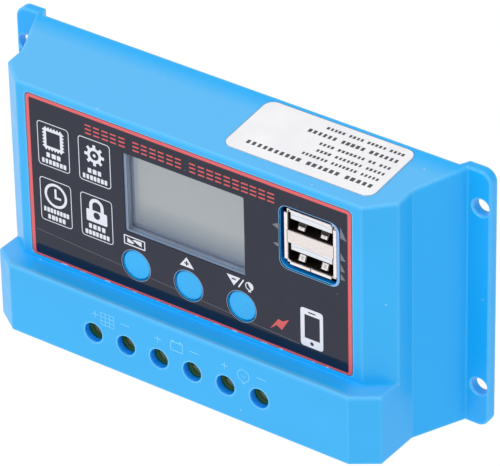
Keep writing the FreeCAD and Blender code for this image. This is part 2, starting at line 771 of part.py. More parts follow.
board_boss_spots = corner_spots(
    S.board_boss_high_across, S.board_boss_low_across, S.board_boss_high_rise, S.board_boss_low_drop
)
cover_boss_spots = corner_spots(
    S.cover_boss_across, S.cover_boss_across, S.cover_boss_rise, S.cover_boss_drop
)


def casing_bosses(body):
    """Screw bosses for the board and for the heat sink, with their pilot holes."""
    bosses = sketch_on(body, "XZ_Plane", S.board_front)
    for across, up in board_boss_spots:
        circle(bosses, across, up, S.board_boss_radius)
    pad(body, bosses, inner_face - S.board_front + S.boss_root, name="board_bosses")
    bosses = sketch_on(body, "XZ_Plane", S.plate_front)
    for across, up in cover_boss_spots:
        circle(bosses, across, up, S.cover_boss_radius)
    pad(body, bosses, S.cover_boss_front - S.plate_front, name="cover_bosses")
    pilots = sketch_on(body, "XZ_Plane", S.board_front)
    for across, up in board_boss_spots:
        circle(pilots, across, up, S.board_screw_radius + S.screw_gap)
    pocket(body, pilots, S.board_screw_length, forward=True, name="board_pilots")
    pilots = sketch_on(body, "XZ_Plane", S.plate_front)
    for across, up in cover_boss_spots:
        circle(pilots, across, up, S.cover_screw_radius + S.screw_gap)
    pocket(body, pilots, S.cover_screw_length, forward=True, name="cover_pilots")


def film_outline(sketch, gap):
    rounded_rectangle(
        sketch,
        -S.film_half_width - gap,
        S.film_half_width + gap,
        -S.film_bottom_drop - gap,
        S.film_top_rise + gap,
        S.film_round,
    )


def window_outline(sketch, margin, radius):
    rounded_rectangle(
        sketch,
        -S.window_left - margin,
        S.window_right + margin,
        S.window_low - margin,
        S.window_high + margin,
        radius,
    )


def usb_outline(sketch):
    across = S.usb_centre - S.usb_opening_shift
    up = S.usb_rise - S.usb_opening_drop
    rounded_rectangle(
        sketch,
        across - S.usb_opening_width / 2,
        across + S.usb_opening_width / 2,
        up - S.usb_opening_height / 2,
        up + S.usb_opening_height / 2,
        S.usb_opening_round,
    )


def casing_openings(body):
    """Recess for the film and openings for window, buttons, socket, screws and wires."""
    recess = sketch_on(body, "XZ_Plane", S.panel_depth)
    film_outline(recess, S.film_gap)
    pocket(body, recess, S.film_recess, name="film_recess")
    seat = sketch_on(body, "XZ_Plane", film_floor)
    window_outline(seat, S.pane_margin, S.pane_margin)
    pocket(body, seat, S.pane_thickness, name="pane_seat")
    window = sketch_on(body, "XZ_Plane", S.panel_depth)
    window_outline(window, ZERO, S.window_round)
    usb_outline(window)
    for i in range(3):
        circle(window, button_across(i), -S.button_drop, S.button_hole_radius)
    pocket(body, window, S.wall + S.cut_over, name="panel_openings")
    access = sketch_on(body, "XZ_Plane", S.cover_depth)
    circle(access, first_terminal, -S.screw_drop, S.access_radius)
    access_hole = pocket(body, access, S.cover_wall + S.cut_over, name="screw_access")
    repeat_across(body, [access_hole], S.terminal_pitch, S.terminal_count, "screw_access_row")
    entry = sketch_on(body, "XY_Plane", -S.bottom_drop)
    reach = S.wire_entry_half_width + S.entry_margin
    rectangle(
        entry,
        first_terminal - reach,
        first_terminal + reach,
        -S.wire_entry_front - S.entry_margin,
        S.entry_margin - S.wire_entry_rear,
    )
    entry_hole = pocket(body, entry, S.wall + S.cut_over, forward=True, name="wire_entry")
    repeat_across(body, [entry_hole], S.terminal_pitch, S.terminal_count, "wire_entry_row")
    holes = sketch_on(body, "XZ_Plane")
    for side in (-1, 1):
        for level in (-1, 1):
            across = S.hole_span_wide * side / 2
            circle(holes, across, S.hole_span_high * level / 2, S.mounting_hole_radius)
    pocket(body, holes, S.tab_thickness + S.cut_over, forward=True, name="mounting_holes")


def casing_rims(body):
    """Breaks the front edges of the screwdriver holes and of the mounting holes."""
    cover_front = -S.cover_depth.number
    tab_front = -S.tab_thickness.number

    def full_circle(edge, depth, radius):
        box = edge.BoundBox
        flat = abs(box.YMin - depth) < 0.01 and box.YLength < 0.01
        return flat and abs(box.XLength - 2 * radius.number) < 0.01

    def access_edge(edge):
        return full_circle(edge, cover_front, S.access_radius)

    def mounting_edge(edge):
        return full_circle(edge, tab_front, S.mounting_hole_radius)

    soften(body, S.access_rim, access_edge, "PartDesign::Chamfer", "access_rims")
    soften(body, S.hole_rim, mounting_edge, "PartDesign::Chamfer", "hole_rims")


def front_housing():
    body = new_body("front_housing")
    casing_block(body)
    terminal_cover(body)
    mounting_tabs(body)
    casing_rounding(body)
    mounting_ears(body)
    casing_hollow(body)
    casing_bosses(body)
    casing_openings(body)
    casing_rims(body)
    keep(body, "front_housing")


# ---------------------------------------------------------------- panel and display


def front_overlay():
    """Printed film with cut-outs for the window, the buttons and the socket."""
    body = new_body("front_overlay")
    sketch = sketch_on(body, "XZ_Plane", film_floor)
    film_outline(sketch, ZERO)
    window_outline(sketch, ZERO, S.window_round)
    usb_outline(sketch)
    for i in range(3):
        circle(sketch, button_across(i), -S.button_drop, S.button_hole_radius)
    pad(body, sketch, S.film_thickness)
    keep(body, "front_overlay")


def display_window():
    body = new_body("display_window")
    sketch = sketch_on(body, "XZ_Plane", pane_floor)
    margin = S.pane_margin - S.play / 2
    window_outline(sketch, margin, margin)
    pad(body, sketch, S.pane_thickness)
    keep(body, "display_window")


def window_block(name, margin, front, rear):
    """A box that follows the window's outline with a margin."""
    left = -S.window_left - margin
    right = S.window_right + margin
    return block(name, left, right, front, rear, S.window_low - margin, S.window_high + margin)


def display():
    """Glass and light guide in a holder that stands on the board, with a row of pins."""
    shell = window_block("holder_shell", S.glass_margin + S.holder_wall, inner_face, S.board_front)
    room = S.glass_margin + S.play
    pocket_tool = window_block("holder_pocket", room, glass_front, S.board_front)
    lip_tool = window_block("holder_window", ZERO, inner_face, glass_front)
    tools = fused("holder_tools", [pocket_tool, lip_tool])
    keep(cut("holder", shell, tools), "display_holder")
    keep(window_block("glass", S.glass_margin, glass_front, glass_rear), "display_glass")
    guide_rear = glass_rear - S.backlight_thickness
    guide_margin = S.glass_margin - S.guide_inset
    keep(window_block("guide", guide_margin, glass_rear, guide_rear), "display_backlight")
    pins = []
    side = S.display_pin_side
    up = S.window_low - S.glass_margin + S.display_pin_rise
    middle = (S.window_right - S.window_left) / 2
    for i in range(int(S.display_pin_count.number)):
        across = middle + S.display_pin_pitch * (i - (S.display_pin_count.number - 1) / 2)
        half = side / 2
        pins.append(
            block(f"pin{i}", across - half, across + half, glass_rear, lead_end, up - half, up + half)
        )
        drill_board(across, up, side * SQUARE_REACH)
    keep(grouped("pins", pins), "display_pins")


# ---------------------------------------------------------------- push buttons


def button(index, label):
    """Cap with a retaining flange; its stem rests on the switch plunger."""
    front = S.panel_depth - S.button_sink
    flange_front = inner_face - S.play
    flange_rear = flange_front - S.button_flange_thickness
    profile = [
        (front, 0),
        (front, S.button_radius),
        (flange_front, S.button_radius),
        (flange_front, S.button_flange_radius),
        (flange_rear, S.button_flange_radius),
        (flange_rear, S.button_stem_radius),
        (S.plunger_depth, S.button_stem_radius),
        (S.plunger_depth, 0),
    ]
    body = turned(label, button_across(index), -S.button_drop, profile)

    def cap_edge(edge):
        box = edge.BoundBox
        return abs(box.YMin + front.number) < 0.01 and box.YLength < 0.01

    soften(body, S.button_edge_round, cap_edge)
    keep(body, label)


def switch_plunger(index, label):
    tip = S.plunger_depth
    root = S.plunger_root_depth
    profile = [(tip, 0), (tip, S.plunger_radius), (root, S.plunger_radius), (root, 0)]
    keep(turned(label, button_across(index), -S.button_drop, profile), label)


def switches():
    """Three tactile switches: moulded base, steel top plate and four legs each."""
    bases, plates, legs = [], [], []
    half = S.switch_side / 2
    base_top = S.board_front + S.switch_height
    plate_top = base_top + S.switch_plate
    for i in range(3):
        across = button_across(i)
        low = -S.button_drop - half
        high = half - S.button_drop
        square = block(f"base{i}", across - half, across + half, base_top, S.board_front, low, high)
        bore_end = base_top - S.switch_bore_depth
        bore = rod(f"bore{i}", across, -S.button_drop, base_top, bore_end, S.switch_bore_radius)
        bases.append(cut(f"switch_base{i}", square, bore))
        sheet_plate = block(f"plate{i}", across - half, across + half, plate_top, base_top, low, high)
        ring = rod(f"ring{i}", across, -S.button_drop, plate_top, base_top, S.switch_bore_radius)
        plates.append(cut(f"switch_plate{i}", sheet_plate, ring))
        for side in (-1, 1):
            for level in (-1, 1):
                leg_across = across + S.switch_leg_span_wide * side / 2
                leg_up = S.switch_leg_span_high * level / 2 - S.button_drop
                leg_front = S.board_front + S.switch_leg_front
                name = f"leg{i}_{side + 1}_{level + 1}"
                legs.append(rod(name, leg_across, leg_up, leg_front, lead_end, S.wire_radius))
                drill_board(leg_across, leg_up, S.wire_radius)
    keep(grouped("bases", bases), "switch_bases")
    keep(grouped("plates", plates), "switch_plates")
    keep(grouped("legs", legs), "switch_legs")


# ---------------------------------------------------------------- twin USB socket


def port_floor(index):
    """Height of a port's floor: index 0 is the lower port, 1 the upper."""
    stack = S.usb_port_height * 2 + S.usb_bar
    lowest = S.usb_rise - stack / 2 + S.usb_port_lift
    return lowest + (S.usb_port_height + S.usb_bar) * index


def usb_block(name, width, front, rear, low, high):
    return block(name, S.usb_centre - width / 2, S.usb_centre + width / 2, front, rear, low, high)


def usb_shell():
    """Folded steel shell: flared front lip, two ports, hollow bar between them, springs."""
    half_face = S.usb_face_height / 2
    half_shell = S.usb_shell_height / 2
    lip_rear = usb_front - S.usb_lip
    lip = usb_block(
        "usb_lip_plate",
        S.usb_face_width,
        usb_front,
        lip_rear,
        S.usb_rise - half_face,
        S.usb_rise + half_face,
    )
    tube = usb_block(
        "usb_tube",
        S.usb_shell_width,
        usb_front,
        S.board_front,
        S.usb_rise - half_shell,
        S.usb_rise + half_shell,
    )
    outer = fused("usb_outer", [lip, tube])
    tools = []
    for side in (-1, 1):
        for level in (-1, 1):
            edge_across = S.usb_centre + S.usb_face_width * side / 2
            edge_up = S.usb_rise + half_face * level
            tools.append(
                block(
                    f"notch_{side + 1}_{level + 1}",
                    edge_across - S.usb_notch_wide,
                    edge_across + S.usb_notch_wide,
                    usb_front,
                    lip_rear,
                    edge_up - S.usb_notch_high,
                    edge_up + S.usb_notch_high,
                )
            )
    seam_low = S.usb_rise - half_face
    tools.append(usb_block("seam", S.usb_seam, usb_front, lip_rear, seam_low, port_floor(0)))
    for i in range(2):
        low = port_floor(i)
        high = low + S.usb_port_height
        tools.append(usb_block(f"port{i}", S.usb_port_width, usb_front, S.board_front, low, high))
    bar_low = port_floor(0) + S.usb_port_height + S.usb_sheet
    bar_high = port_floor(1) - S.usb_sheet
    bar_front = usb_front - S.usb_lip
    inside = usb_base_front
    tools.append(usb_block("bar_hollow", S.usb_port_width, bar_front, inside, bar_low, bar_high))
    tools.append(
        usb_block(
            "base_room",
            S.usb_port_width,
            usb_base_front,
            S.board_front,
            port_floor(0),
            port_floor(1) + S.usb_port_height,
        )
    )
    shell = cut("usb_sheet_shell", outer, fused("usb_tools", tools))
    springs = []
    for i in range(2):
        for side in (-1, 1):
            springs.append(spring_finger(i, side))
    keep(fused("usb_shell_with_springs", [shell] + springs), "usb_shell")


def spring_finger(port, side):
    """A bent finger that rises from the port's floor and presses on the plug."""
    floor = port_floor(port)
    sheet_thickness = S.spring_sheet
    foot = floor - S.spring_sink
    root = usb_front - S.spring_root
    crown = usb_front - S.spring_crown
    tip = usb_front - S.spring_tip
    crest = floor + S.spring_rise
    sketch = doc.addObject("Sketcher::SketchObject", f"spring_side_{port}_{side + 1}")
    sketch.Placement = Placement(Vector(), Rotation(Vector(1, 1, 1), 120))
    across = S.usb_centre + S.spring_offset * side - S.spring_width / 2
    bind(sketch, "Placement.Base.x", across)
    outline(
        sketch,
        [
            (-root, foot),
            (-root, floor + sheet_thickness),
            (-crown, crest),
            (-tip, crest - S.spring_fall),
            (sheet_thickness - tip, crest - S.spring_fall),
            (sheet_thickness - crown, crest - sheet_thickness),
            (-root - S.spring_foot, foot),
        ],
    )
    finger = doc.addObject("Part::Extrusion", f"spring_{port}_{side + 1}")
    finger.Base = sketch
    finger.DirMode = "Custom"
    finger.Dir = Vector(1, 0, 0)
    finger.Solid = True
    bind(finger, "LengthFwd", S.spring_width)
    sketch.Visibility = False
    return finger


def usb_inside():
    """Moulded base with two tongues, and four contacts under each tongue."""
    fit = S.play / 2
    pieces = [
        usb_block(
            "usb_base",
            S.usb_port_width - fit * 2,
            usb_base_front - fit,
            S.board_front,
            port_floor(0) + fit,
            port_floor(1) + S.usb_port_height - fit,
        )
    ]
    contacts = []
    for i in range(2):
        tongue_high = port_floor(i) + S.usb_port_height - S.tongue_gap
        tongue_low = tongue_high - S.tongue_thickness
        tip = usb_front - S.tongue_sink
        pieces.append(
            usb_block(f"tongue{i}", S.tongue_width, tip, S.board_front, tongue_low, tongue_high)
        )
        for k in range(4):
            across = S.usb_centre + S.contact_pitch * (k - 1.5)
            left = across - S.contact_width / 2
            right = across + S.contact_width / 2
            strip_low = tongue_low - S.contact_thickness
            start = tip - S.contact_sink
            strip = block(f"strip{i}{k}", left, right, start, lead_end, strip_low, tongue_low)
            contacts.append(strip)
            drill_board(across, strip_low + S.contact_thickness / 2, S.contact_width / 2)
    moulding = fused("usb_moulding", pieces)
    strips = grouped("strips", contacts)
    keep(strips, "usb_contacts")
    keep(cut("usb_insulator_body", moulding, strips), "usb_insulator")


# ---------------------------------------------------------------- screw terminals


def terminal_block():
    """Six-way moulded block; the first cell's pockets are repeated along X."""
    body = new_body("terminal_block")
    end = S.terminal_pitch * S.terminal_count / 2 + S.block_margin
    face = sketch_on(body, "XZ_Plane", S.board_front)
    rectangle(face, -end, end, -S.block_bottom_drop, -S.block_top_drop)
    pad(body, face, S.block_front - S.board_front)
    x = first_terminal
    cells = []

    def cell_pocket(front, length, shape, name):
        sketch = sketch_on(body, "XZ_Plane", front)
        shape(sketch)
        cells.append(pocket(body, sketch, length, name=name))

    def cage_cell(sketch):
        half = S.cell_half_width
        rectangle(sketch, x - half, x + half, -S.cell_low_drop, -S.cell_high_drop)

    def bar_slot(sketch):
        half = S.bar_half_width + S.play
        rectangle(sketch, x - half, x + half, -S.cell_high_drop, S.play - S.bar_top_drop)

    def wire_entry(sketch):
        half = S.wire_entry_half_width
        low = -S.block_bottom_drop - S.cut_over
        rectangle(sketch, x - half, x + half, low, -S.cell_low_drop)

    def mouth(sketch):
        circle(sketch, x, -S.screw_drop, S.mouth_radius)

    def head_pocket(sketch):
        circle(sketch, x, -S.screw_drop, S.head_pocket_radius)

    head_rear = S.head_front - S.head_thickness
    cell_front = head_rear - S.play
    cell_pocket(S.block_front, S.block_front - S.head_front, mouth, "mouth")
    pocket_depth = S.head_thickness + S.play * 3
    cell_pocket(S.head_front + S.play, pocket_depth, head_pocket, "head_pocket")
    cell_pocket(cell_front, cell_front - S.board_front, cage_cell, "cage_cell")
    slot_front = S.bar_front + S.play
    cell_pocket(slot_front, slot_front - S.board_front, bar_slot, "bar_slot")
    entry_length = S.wire_entry_front - S.wire_entry_rear
    cell_pocket(S.wire_entry_front, entry_length, wire_entry, "wire_entry")
    repeat_across(body, cells, S.terminal_pitch, S.terminal_count)
    keep(body, "terminal_block")


def terminal_screw(index):
    """Slotted screw, trapped between the block's mouth and the conductor bar."""
    label = f"terminal_screw_{index + 1}"
    across = terminal_across(index)
    head_rear = S.head_front - S.head_thickness
    tip = S.bar_front + S.play / 2
    profile = [
        (S.head_front, 0),
        (S.head_front, S.head_radius),
        (head_rear, S.head_radius),
        (head_rear, S.shank_radius),
        (tip, S.shank_radius),
        (tip, 0),
    ]
    body = turned(label, across, -S.screw_drop, profile)
    slot = sketch_on(body, "XZ_Plane", S.head_front)
    reach = S.head_radius + S.play
    half = S.head_slot_width / 2
    rectangle(slot, across - reach, across + reach, -S.screw_drop - half, half - S.screw_drop)
    pocket(body, slot, S.head_slot_depth, name="slot")
    keep(body, label)


def clamp_cage(index):
    """Rectangular ring round the conductor bar; its front wall rides on the screw."""
    label = f"clamp_cage_{index + 1}"
    across = terminal_across(index)
    body = new_body(label)
    ring = sketch_on(body, "XY_Plane", -S.screw_drop - S.cage_half_height)
    half = S.cage_half_width
    rectangle(ring, across - half, across + half, -S.cage_front, -S.cage_rear)
    inner = half - S.cage_wall
    front = S.cage_wall - S.cage_front
    rear = -S.cage_rear - S.cage_wall
    rectangle(ring, across - inner, across + inner, front, rear)
    pad(body, ring, S.cage_half_height * 2)
    hole = sketch_on(body, "XZ_Plane", S.cage_front)
    circle(hole, across, -S.screw_drop, S.shank_radius + S.shank_clearance)
    pocket(body, hole, S.cage_wall + S.play, name="screw_hole")
    keep(body, label)


def conductor_bars():
    """Bent bars that the wires are clamped against, with tails through the board."""
    bars = []
    bar_rear = S.bar_front - S.bar_thickness
    bar_high = -S.bar_top_drop
    tail_low = bar_high - S.bar_thickness
    for i in range(int(S.terminal_count.number)):
        across = terminal_across(i)
        half = S.bar_half_width
        flat = block(
            f"flat{i}",
            across - half,
            across + half,
            S.bar_front,
            bar_rear,
            S.bar_low_gap - S.cell_low_drop,
            bar_high,
        )
        fold = block(
            f"fold{i}", across - half, across + half, S.bar_front, S.board_front, tail_low, bar_high
        )
        half = S.tail_half_width
        tail = block(
            f"tail{i}", across - half, across + half, S.board_front, lead_end, tail_low, bar_high
        )
        bars.append(fused(f"bar{i}", [flat, fold, tail]))
        tail_radius = S.tail_half_width + S.drill_clearance
        drill_board(across, tail_low + S.bar_thickness / 2, tail_radius)
    keep(grouped("bars", bars), "conductor_bars")


# ---------------------------------------------------------------- board and its parts


def power_transistors():
    """Flat-mounted transistors: moulded body, metal tab and three bent leads."""
    bodies, tabs, leads, screws = [], [], [], []
    front = transistor_rear + S.transistor_thickness
    low = -S.transistor_drop
    high = S.transistor_height - S.transistor_drop
    tab_front = transistor_rear + S.tab_metal
    tab_high = high + S.tab_rise
    hole_up = tab_high - S.tab_rise / 2
    half = S.transistor_width / 2
    lead_depth = transistor_rear + S.lead_stand
    lead_half = S.lead_side / 2
    for i, place in enumerate(POWER_TRANSISTORS_ACROSS):
        x = size(place)
        bodies.append(block(f"mould{i}", x - half, x + half, front, tab_front, low, high))
        plate = block(f"tab{i}", x - half, x + half, tab_front, transistor_rear, low, tab_high)
        hole = rod(f"tabhole{i}", x, hole_up, tab_front, transistor_rear, S.tab_hole_radius)
        tabs.append(cut(f"metal_tab{i}", plate, hole))
        for k in (-1, 0, 1):
            left = x + S.lead_pitch * k - lead_half
            right = left + S.lead_side
            lead_front = lead_depth + lead_half
            lead_rear = lead_depth - lead_half
            corner = -S.lead_drop - lead_half
            down = block(f"down{i}_{k + 1}", left, right, lead_front, lead_rear, corner, low)
            lead_tip = S.board_front - S.lead_sink
            up = corner + S.lead_side
            into = block(f"into{i}_{k + 1}", left, right, lead_tip, lead_rear, corner, up)
            leads.append(fused(f"lead{i}_{k + 1}", [down, into]))
            drill_board(x + S.lead_pitch * k, -S.lead_drop, S.lead_side * SQUARE_REACH)
        screws.append(transistor_screw(f"transistor_screw{i}", x, hole_up, tab_front))
    keep(grouped("moulds", bodies), "transistor_bodies")
    keep(grouped("metal_tabs", tabs), "transistor_tabs")
    keep(grouped("bent_leads", leads), "transistor_leads")
    keep(grouped("tab_screws", screws), "transistor_screws")
    return hole_up, low, tab_high


def transistor_screw(name, across, up, seat):
    head = seat + S.tab_screw_head
    tip = S.plate_front - S.tab_screw_depth
    profile = [
        (head, 0),
        (head, S.tab_screw_head_radius),
        (seat, S.tab_screw_head_radius),
        (seat, S.tab_screw_radius),
        (tip, S.tab_screw_radius),
        (tip, 0),
    ]
    return turned(name, across, up, profile)


def thermal_pad(hole_up, low, high):
    over = S.pad_over
    reach = size(POWER_TRANSISTORS_ACROSS[-1]) + S.transistor_width / 2 + over
    rear = S.plate_front
    strip = block("pad_strip", -reach, reach, transistor_rear, rear, low - over, high + over)
    holes = []
    for i, across in enumerate(POWER_TRANSISTORS_ACROSS):
        holes.append(rod(f"padhole{i}", across, hole_up, transistor_rear, rear, S.tab_hole_radius))
    keep(cut("pad_sheet", strip, fused("pad_holes", holes)), "thermal_pad")


def lead_rods(name, across, up, front, half_span):
    """Two straight leads through the board."""
    rods = []
    for side in (-1, 1):
        place = across + half_span * side
        rods.append(rod(f"{name}_{side + 1}", place, up, front, lead_end, S.wire_radius))
        drill_board(place, up, S.wire_radius)
    return rods


def capacitors():
    """Upright electrolytic capacitors with a rolled neck above the rubber seal."""
    cans, seals, leads = [], [], []
    base = S.board_front + S.capacitor_seal
    top = base + S.capacitor_length
    for i, place in enumerate(CAPACITORS):
        across, up, radius = (size(value) for value in place)
        groove = S.capacitor_groove
        neck = radius - groove
        half_span = radius * S.capacitor_lead_share
        profile = [
            (top, 0),
            (top, neck),
            (top - groove, radius),
            (base + groove * 5, radius),
            (base + groove * 4, neck),
            (base + groove * 3, neck),
            (base + groove * 2, radius),
            (base, radius),
            (base, 0),
        ]
        cans.append(turned(f"can{i}", across, up, profile))
        seals.append(rod(f"seal{i}", across, up, base, S.board_front, neck - S.play))
        leads += lead_rods(f"caplead{i}", across, up, S.board_front, half_span)
    keep(grouped("cans", cans), "capacitor_cans")
    keep(grouped("seals", seals), "capacitor_seals")
    return leads


def inductor():
    """Drum core with its winding."""
    x = S.inductor_across
    up = S.inductor_rise
    base = S.board_front
    top = base + S.inductor_height
    cheek = S.inductor_cheek
    neck = S.inductor_radius / 2
    coil_radius = S.inductor_radius - S.inductor_coil_inset
    core = [
        (top, 0),
        (top, S.inductor_radius),
        (top - cheek, S.inductor_radius),
        (top - cheek, neck),
        (base + cheek, neck),
        (base + cheek, S.inductor_radius),
        (base, S.inductor_radius),
        (base, 0),
    ]
    keep(turned("drum", x, up, core), "inductor_core")
    coil = [
        (top - cheek, neck),
        (top - cheek, coil_radius),
        (base + cheek, coil_radius),
        (base + cheek, neck),
    ]
    keep(turned("coil", x, up, coil), "inductor_winding")
    return lead_rods("coillead", x, up, base, S.inductor_lead_across)


def chip(name, across, up, width, height, rows, leads):
    """A flat chip on the board with leads along its left and right sides."""
    stand = S.board_front + S.chip_stand
    top = stand + S.chip_thickness
    half = width / 2
    body = block(
        name, across - half, across + half, top, stand, up - height / 2, up + height / 2
    )
    pitch = height / rows
    lead_half = pitch * S.chip_lead_share / 2
    for side in (-1, 1):
        inner = across + half * side
        outer = inner + S.chip_lead_reach * side
        left, right = (inner, outer) if side > 0 else (outer, inner)
        for k in range(rows):
            middle = up - height / 2 + pitch * (k + 0.5)
            leads.append(
                block(
                    f"{name}_{side + 1}_{k}",
                    left,
                    right,
                    stand + S.chip_thickness / 2,
                    S.board_front,
                    middle - lead_half,
                    middle + lead_half,
                )
            )
    return body


def chips():
    leads = []
    bodies = []
    for name, place, rows in CHIPS:
        across, up, width, height = (size(value) for value in place)
        bodies.append(chip(name, across, up, width, height, rows, leads))
    keep(bodies[0], "controller_chip")
    keep(grouped("small_chips", bodies[1:]), "driver_chips")
    keep(grouped("lead_frames", leads), "chip_leads")


def chip_resistors():
    """Two columns of small surface-mounted resistors beside the controller chip."""
    pieces = []
    front = S.board_front + S.resistor_height
    for column, place in enumerate(RESISTOR_COLUMNS):
        left = size(place)
        right = left + S.resistor_length
        for k in range(RESISTORS_PER_COLUMN):
            low = S.resistor_pitch * k - S.resistor_low_drop
            high = low + S.resistor_width
            name = f"resistor_{column}_{k}"
            pieces.append(block(name, left, right, front, S.board_front, low, high))
    keep(grouped("resistors", pieces), "chip_resistors")


def diodes():
    """Two axial diodes lying along X, each with bent leads at both ends."""
    bodies, leads = [], []
    up = -S.diode_drop
    half = S.diode_length / 2
    wire = S.diode_wire_radius
    for side in (-1, 1):
        x = S.diode_across * side
        bodies.append(
            cross_rod(f"diode{side + 1}", x - half, x + half, S.diode_depth, up, S.diode_radius)
        )
        for end in (-1, 1):
            inner = x + half * end
            outer = inner + S.diode_wire_reach * end
            name = f"dlead{side + 1}{end + 1}"
            left, right = (inner, outer) if end > 0 else (outer, inner)
            bend = outer - S.diode_bend_inset * end
            along = cross_rod(name + "_along", left, right, S.diode_depth, up, wire)
            down = rod(name + "_down", bend, up, S.diode_depth, lead_end, wire)
            leads.append(fused(name, [along, down]))
            drill_board(bend, up, wire)
    keep(grouped("diodes", bodies), "diode_bodies")
    return leads


def current_shunt():
    """Bridge of resistance wire that measures the load current."""
    up = -S.shunt_drop
    span = S.shunt_half_span
    radius = S.shunt_radius
    reach = span + S.shunt_overhang
    pieces = [
        cross_rod("shunt_bridge", -reach, reach, S.shunt_depth, up, radius)
    ]
    for side in (-1, 1):
        pieces.append(
            rod(f"shunt_leg{side + 1}", span * side, up, S.shunt_depth, lead_end, radius)
        )
        drill_board(span * side, up, radius)
    keep(fused("shunt", pieces), "current_shunt")


def board_screws():
    """Screws from behind the board into the casing bosses."""
    screws = []
    head_rear = board_rear - S.board_screw_head
    tip = S.board_front + S.board_screw_length - S.screw_tip_gap
    for i, (across, up) in enumerate(board_boss_spots):
        profile = [
            (tip, 0),
            (tip, S.board_screw_radius),
            (board_rear, S.board_screw_radius),
            (board_rear, S.board_screw_head_radius),
            (head_rear, S.board_screw_head_radius),
            (head_rear, 0),
        ]
        screws.append(turned(f"board_screw{i}", across, up, profile))
        drill_board(across, up, S.board_screw_radius)
    keep(grouped("board_screw_set", screws), "board_screws")


def main_board():
    """Circuit board, drilled for every lead and screw noted above."""
    plate = block(
        "board_plate",
        -S.board_half_width,
        S.board_half_width,
        S.board_front,
        board_rear,
        -S.board_bottom_drop,
        S.board_top_rise,
    )
    drills = []
    for i, (across, up, radius) in enumerate(board_drills):
        drills.append(rod(f"drill{i}", across, up, S.board_front, board_rear, radius))
    keep(cut("drilled_board", plate, grouped("drills", drills)), "main_board")


# ---------------------------------------------------------------- rear and top


def rear_heat_sink():
    """Aluminium plate let into the rear of the casing, with upright cooling fins."""
    body = new_body("rear_heat_sink")
    gap = S.plate_gap
    plate = sketch_on(body, "XZ_Plane", S.plate_rear)
    half = plate_half_width - gap
    rectangle(plate, -half, half, plate_low + gap, plate_high - gap)
    pad(body, plate, S.plate_front - S.plate_rear)
    fin = sketch_on(body, "XZ_Plane", S.fin_rear)
    left = -S.fin_pitch * (S.fin_count - 1) / 2 - S.fin_thickness / 2
    rectangle(fin, left, left + S.fin_thickness, -S.fin_half_height, S.fin_half_height)
    first_fin = pad(body, fin, S.plate_rear - S.fin_rear + S.fin_root, name="fin")
    repeat_across(body, [first_fin], S.fin_pitch, S.fin_count, "fins")
    holes = sketch_on(body, "XZ_Plane", S.plate_rear)
    for across, up in cover_boss_spots:
        circle(holes, across, up, S.cover_screw_radius + S.play)
    pocket(body, holes, S.plate_front, forward=True, name="screw_holes")
    taps = sketch_on(body, "XZ_Plane", S.plate_front)
    for across in POWER_TRANSISTORS_ACROSS:
        circle(taps, across, transistor_hole_up, S.tab_screw_radius + S.tap_clearance)
    pocket(body, taps, S.tap_depth, name="tapped_holes")

    def rear_rim(edge):
        box = edge.BoundBox
        on_rear = abs(box.YMin + S.plate_rear.number) < 0.01 and box.YLength < 0.01
        return on_rear and abs(box.Center.x) > 45 and 2 < box.XLength < 6

    countersink = S.cover_screw_head_radius - S.cover_screw_radius
    soften(body, countersink, rear_rim, "PartDesign::Chamfer", "countersinks")
    keep(body, "rear_heat_sink")


def heat_sink_screws():
    screws = []
    rear = S.plate_rear + S.play
    neck = rear + S.cover_screw_head
    tip = S.plate_front + S.cover_screw_length - S.screw_tip_gap
    for i, (across, up) in enumerate(cover_boss_spots):
        profile = [
            (tip, 0),
            (tip - 1, S.cover_screw_radius),
            (neck, S.cover_screw_radius),
            (rear, S.cover_screw_head_radius),
            (rear, 0),
        ]
        screws.append(turned(f"heat_sink_screw{i}", across, up, profile))
    keep(grouped("heat_sink_screw_set", screws), "heat_sink_screws")


def rating_label():
    """Sticker on the sloping top; its body is tilted to lie on that face."""
    body = new_body("rating_label")
    sketch = sketch_on(body, "XY_Plane")
    half_width = (S.label_right - S.label_left) / 2
    half_depth = (S.label_front - S.label_rear) / 2
    rounded_rectangle(sketch, -half_width, half_width, -half_depth, half_depth, S.label_round)
    pad(body, sketch, S.label_thickness)
    middle_depth = (S.label_front + S.label_rear) / 2
    body.Placement = Placement(Vector(), Rotation(Vector(1, 0, 0), 5))
    bind(body, "Placement.Rotation.Angle", Size(0, "atan(Sizes.top_slope)"))
    bind(body, "Placement.Base.x", (S.label_left + S.label_right) / 2)
    bind(body, "Placement.Base.y", -middle_depth)
    face = S.top_rise + S.top_slope * (S.panel_depth - middle_depth)
    bind(body, "Placement.Base.z", face + S.label_gap)
    keep(body, "rating_label")


# ---------------------------------------------------------------- assembly

front_housing()
front_overlay()
display_window()
display()
for index, label in enumerate(("menu_button", "up_button", "down_button")):
    button(index, label)
    switch_plunger(index, label.replace("button", "switch_plunger"))
switches()
usb_shell()
usb_inside()
terminal_block()
for index in range(int(S.terminal_count.number)):
    terminal_screw(index)
    clamp_cage(index)
conductor_bars()
transistor_hole_up, transistor_low, transistor_high = power_transistors()
thermal_pad(transistor_hole_up, transistor_low, transistor_high)
component_leads = capacitors() + inductor() + diodes()
keep(grouped("component_lead_set", component_leads), "component_leads")
chips()
chip_resistors()
current_shunt()
board_screws()
main_board()
rear_heat_sink()
heat_sink_screws()
rating_label()
doc.recompute()

# ---------------------------------------------------------------- checks and export

for item in doc.Objects:
    if "Invalid" in item.State or "Error" in item.State:
        raise RuntimeError(f"{item.Label} failed: {item.State}")
for item in subparts:
    if item.Shape.isNull() or not item.Shape.isValid() or not item.Shape.Solids:
        raise RuntimeError(f"{item.Label} has no valid solid")

os.makedirs("parts", exist_ok=True)
for item in subparts:
    item.Shape.exportStep(f"parts/{item.Label}.step")
    print(item.Label, len(item.Shape.Solids), "solids", round(item.Shape.Volume, 1), "mm3")
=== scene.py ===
import math
import random

import bmesh
import bpy
from mathutils import Matrix, Vector


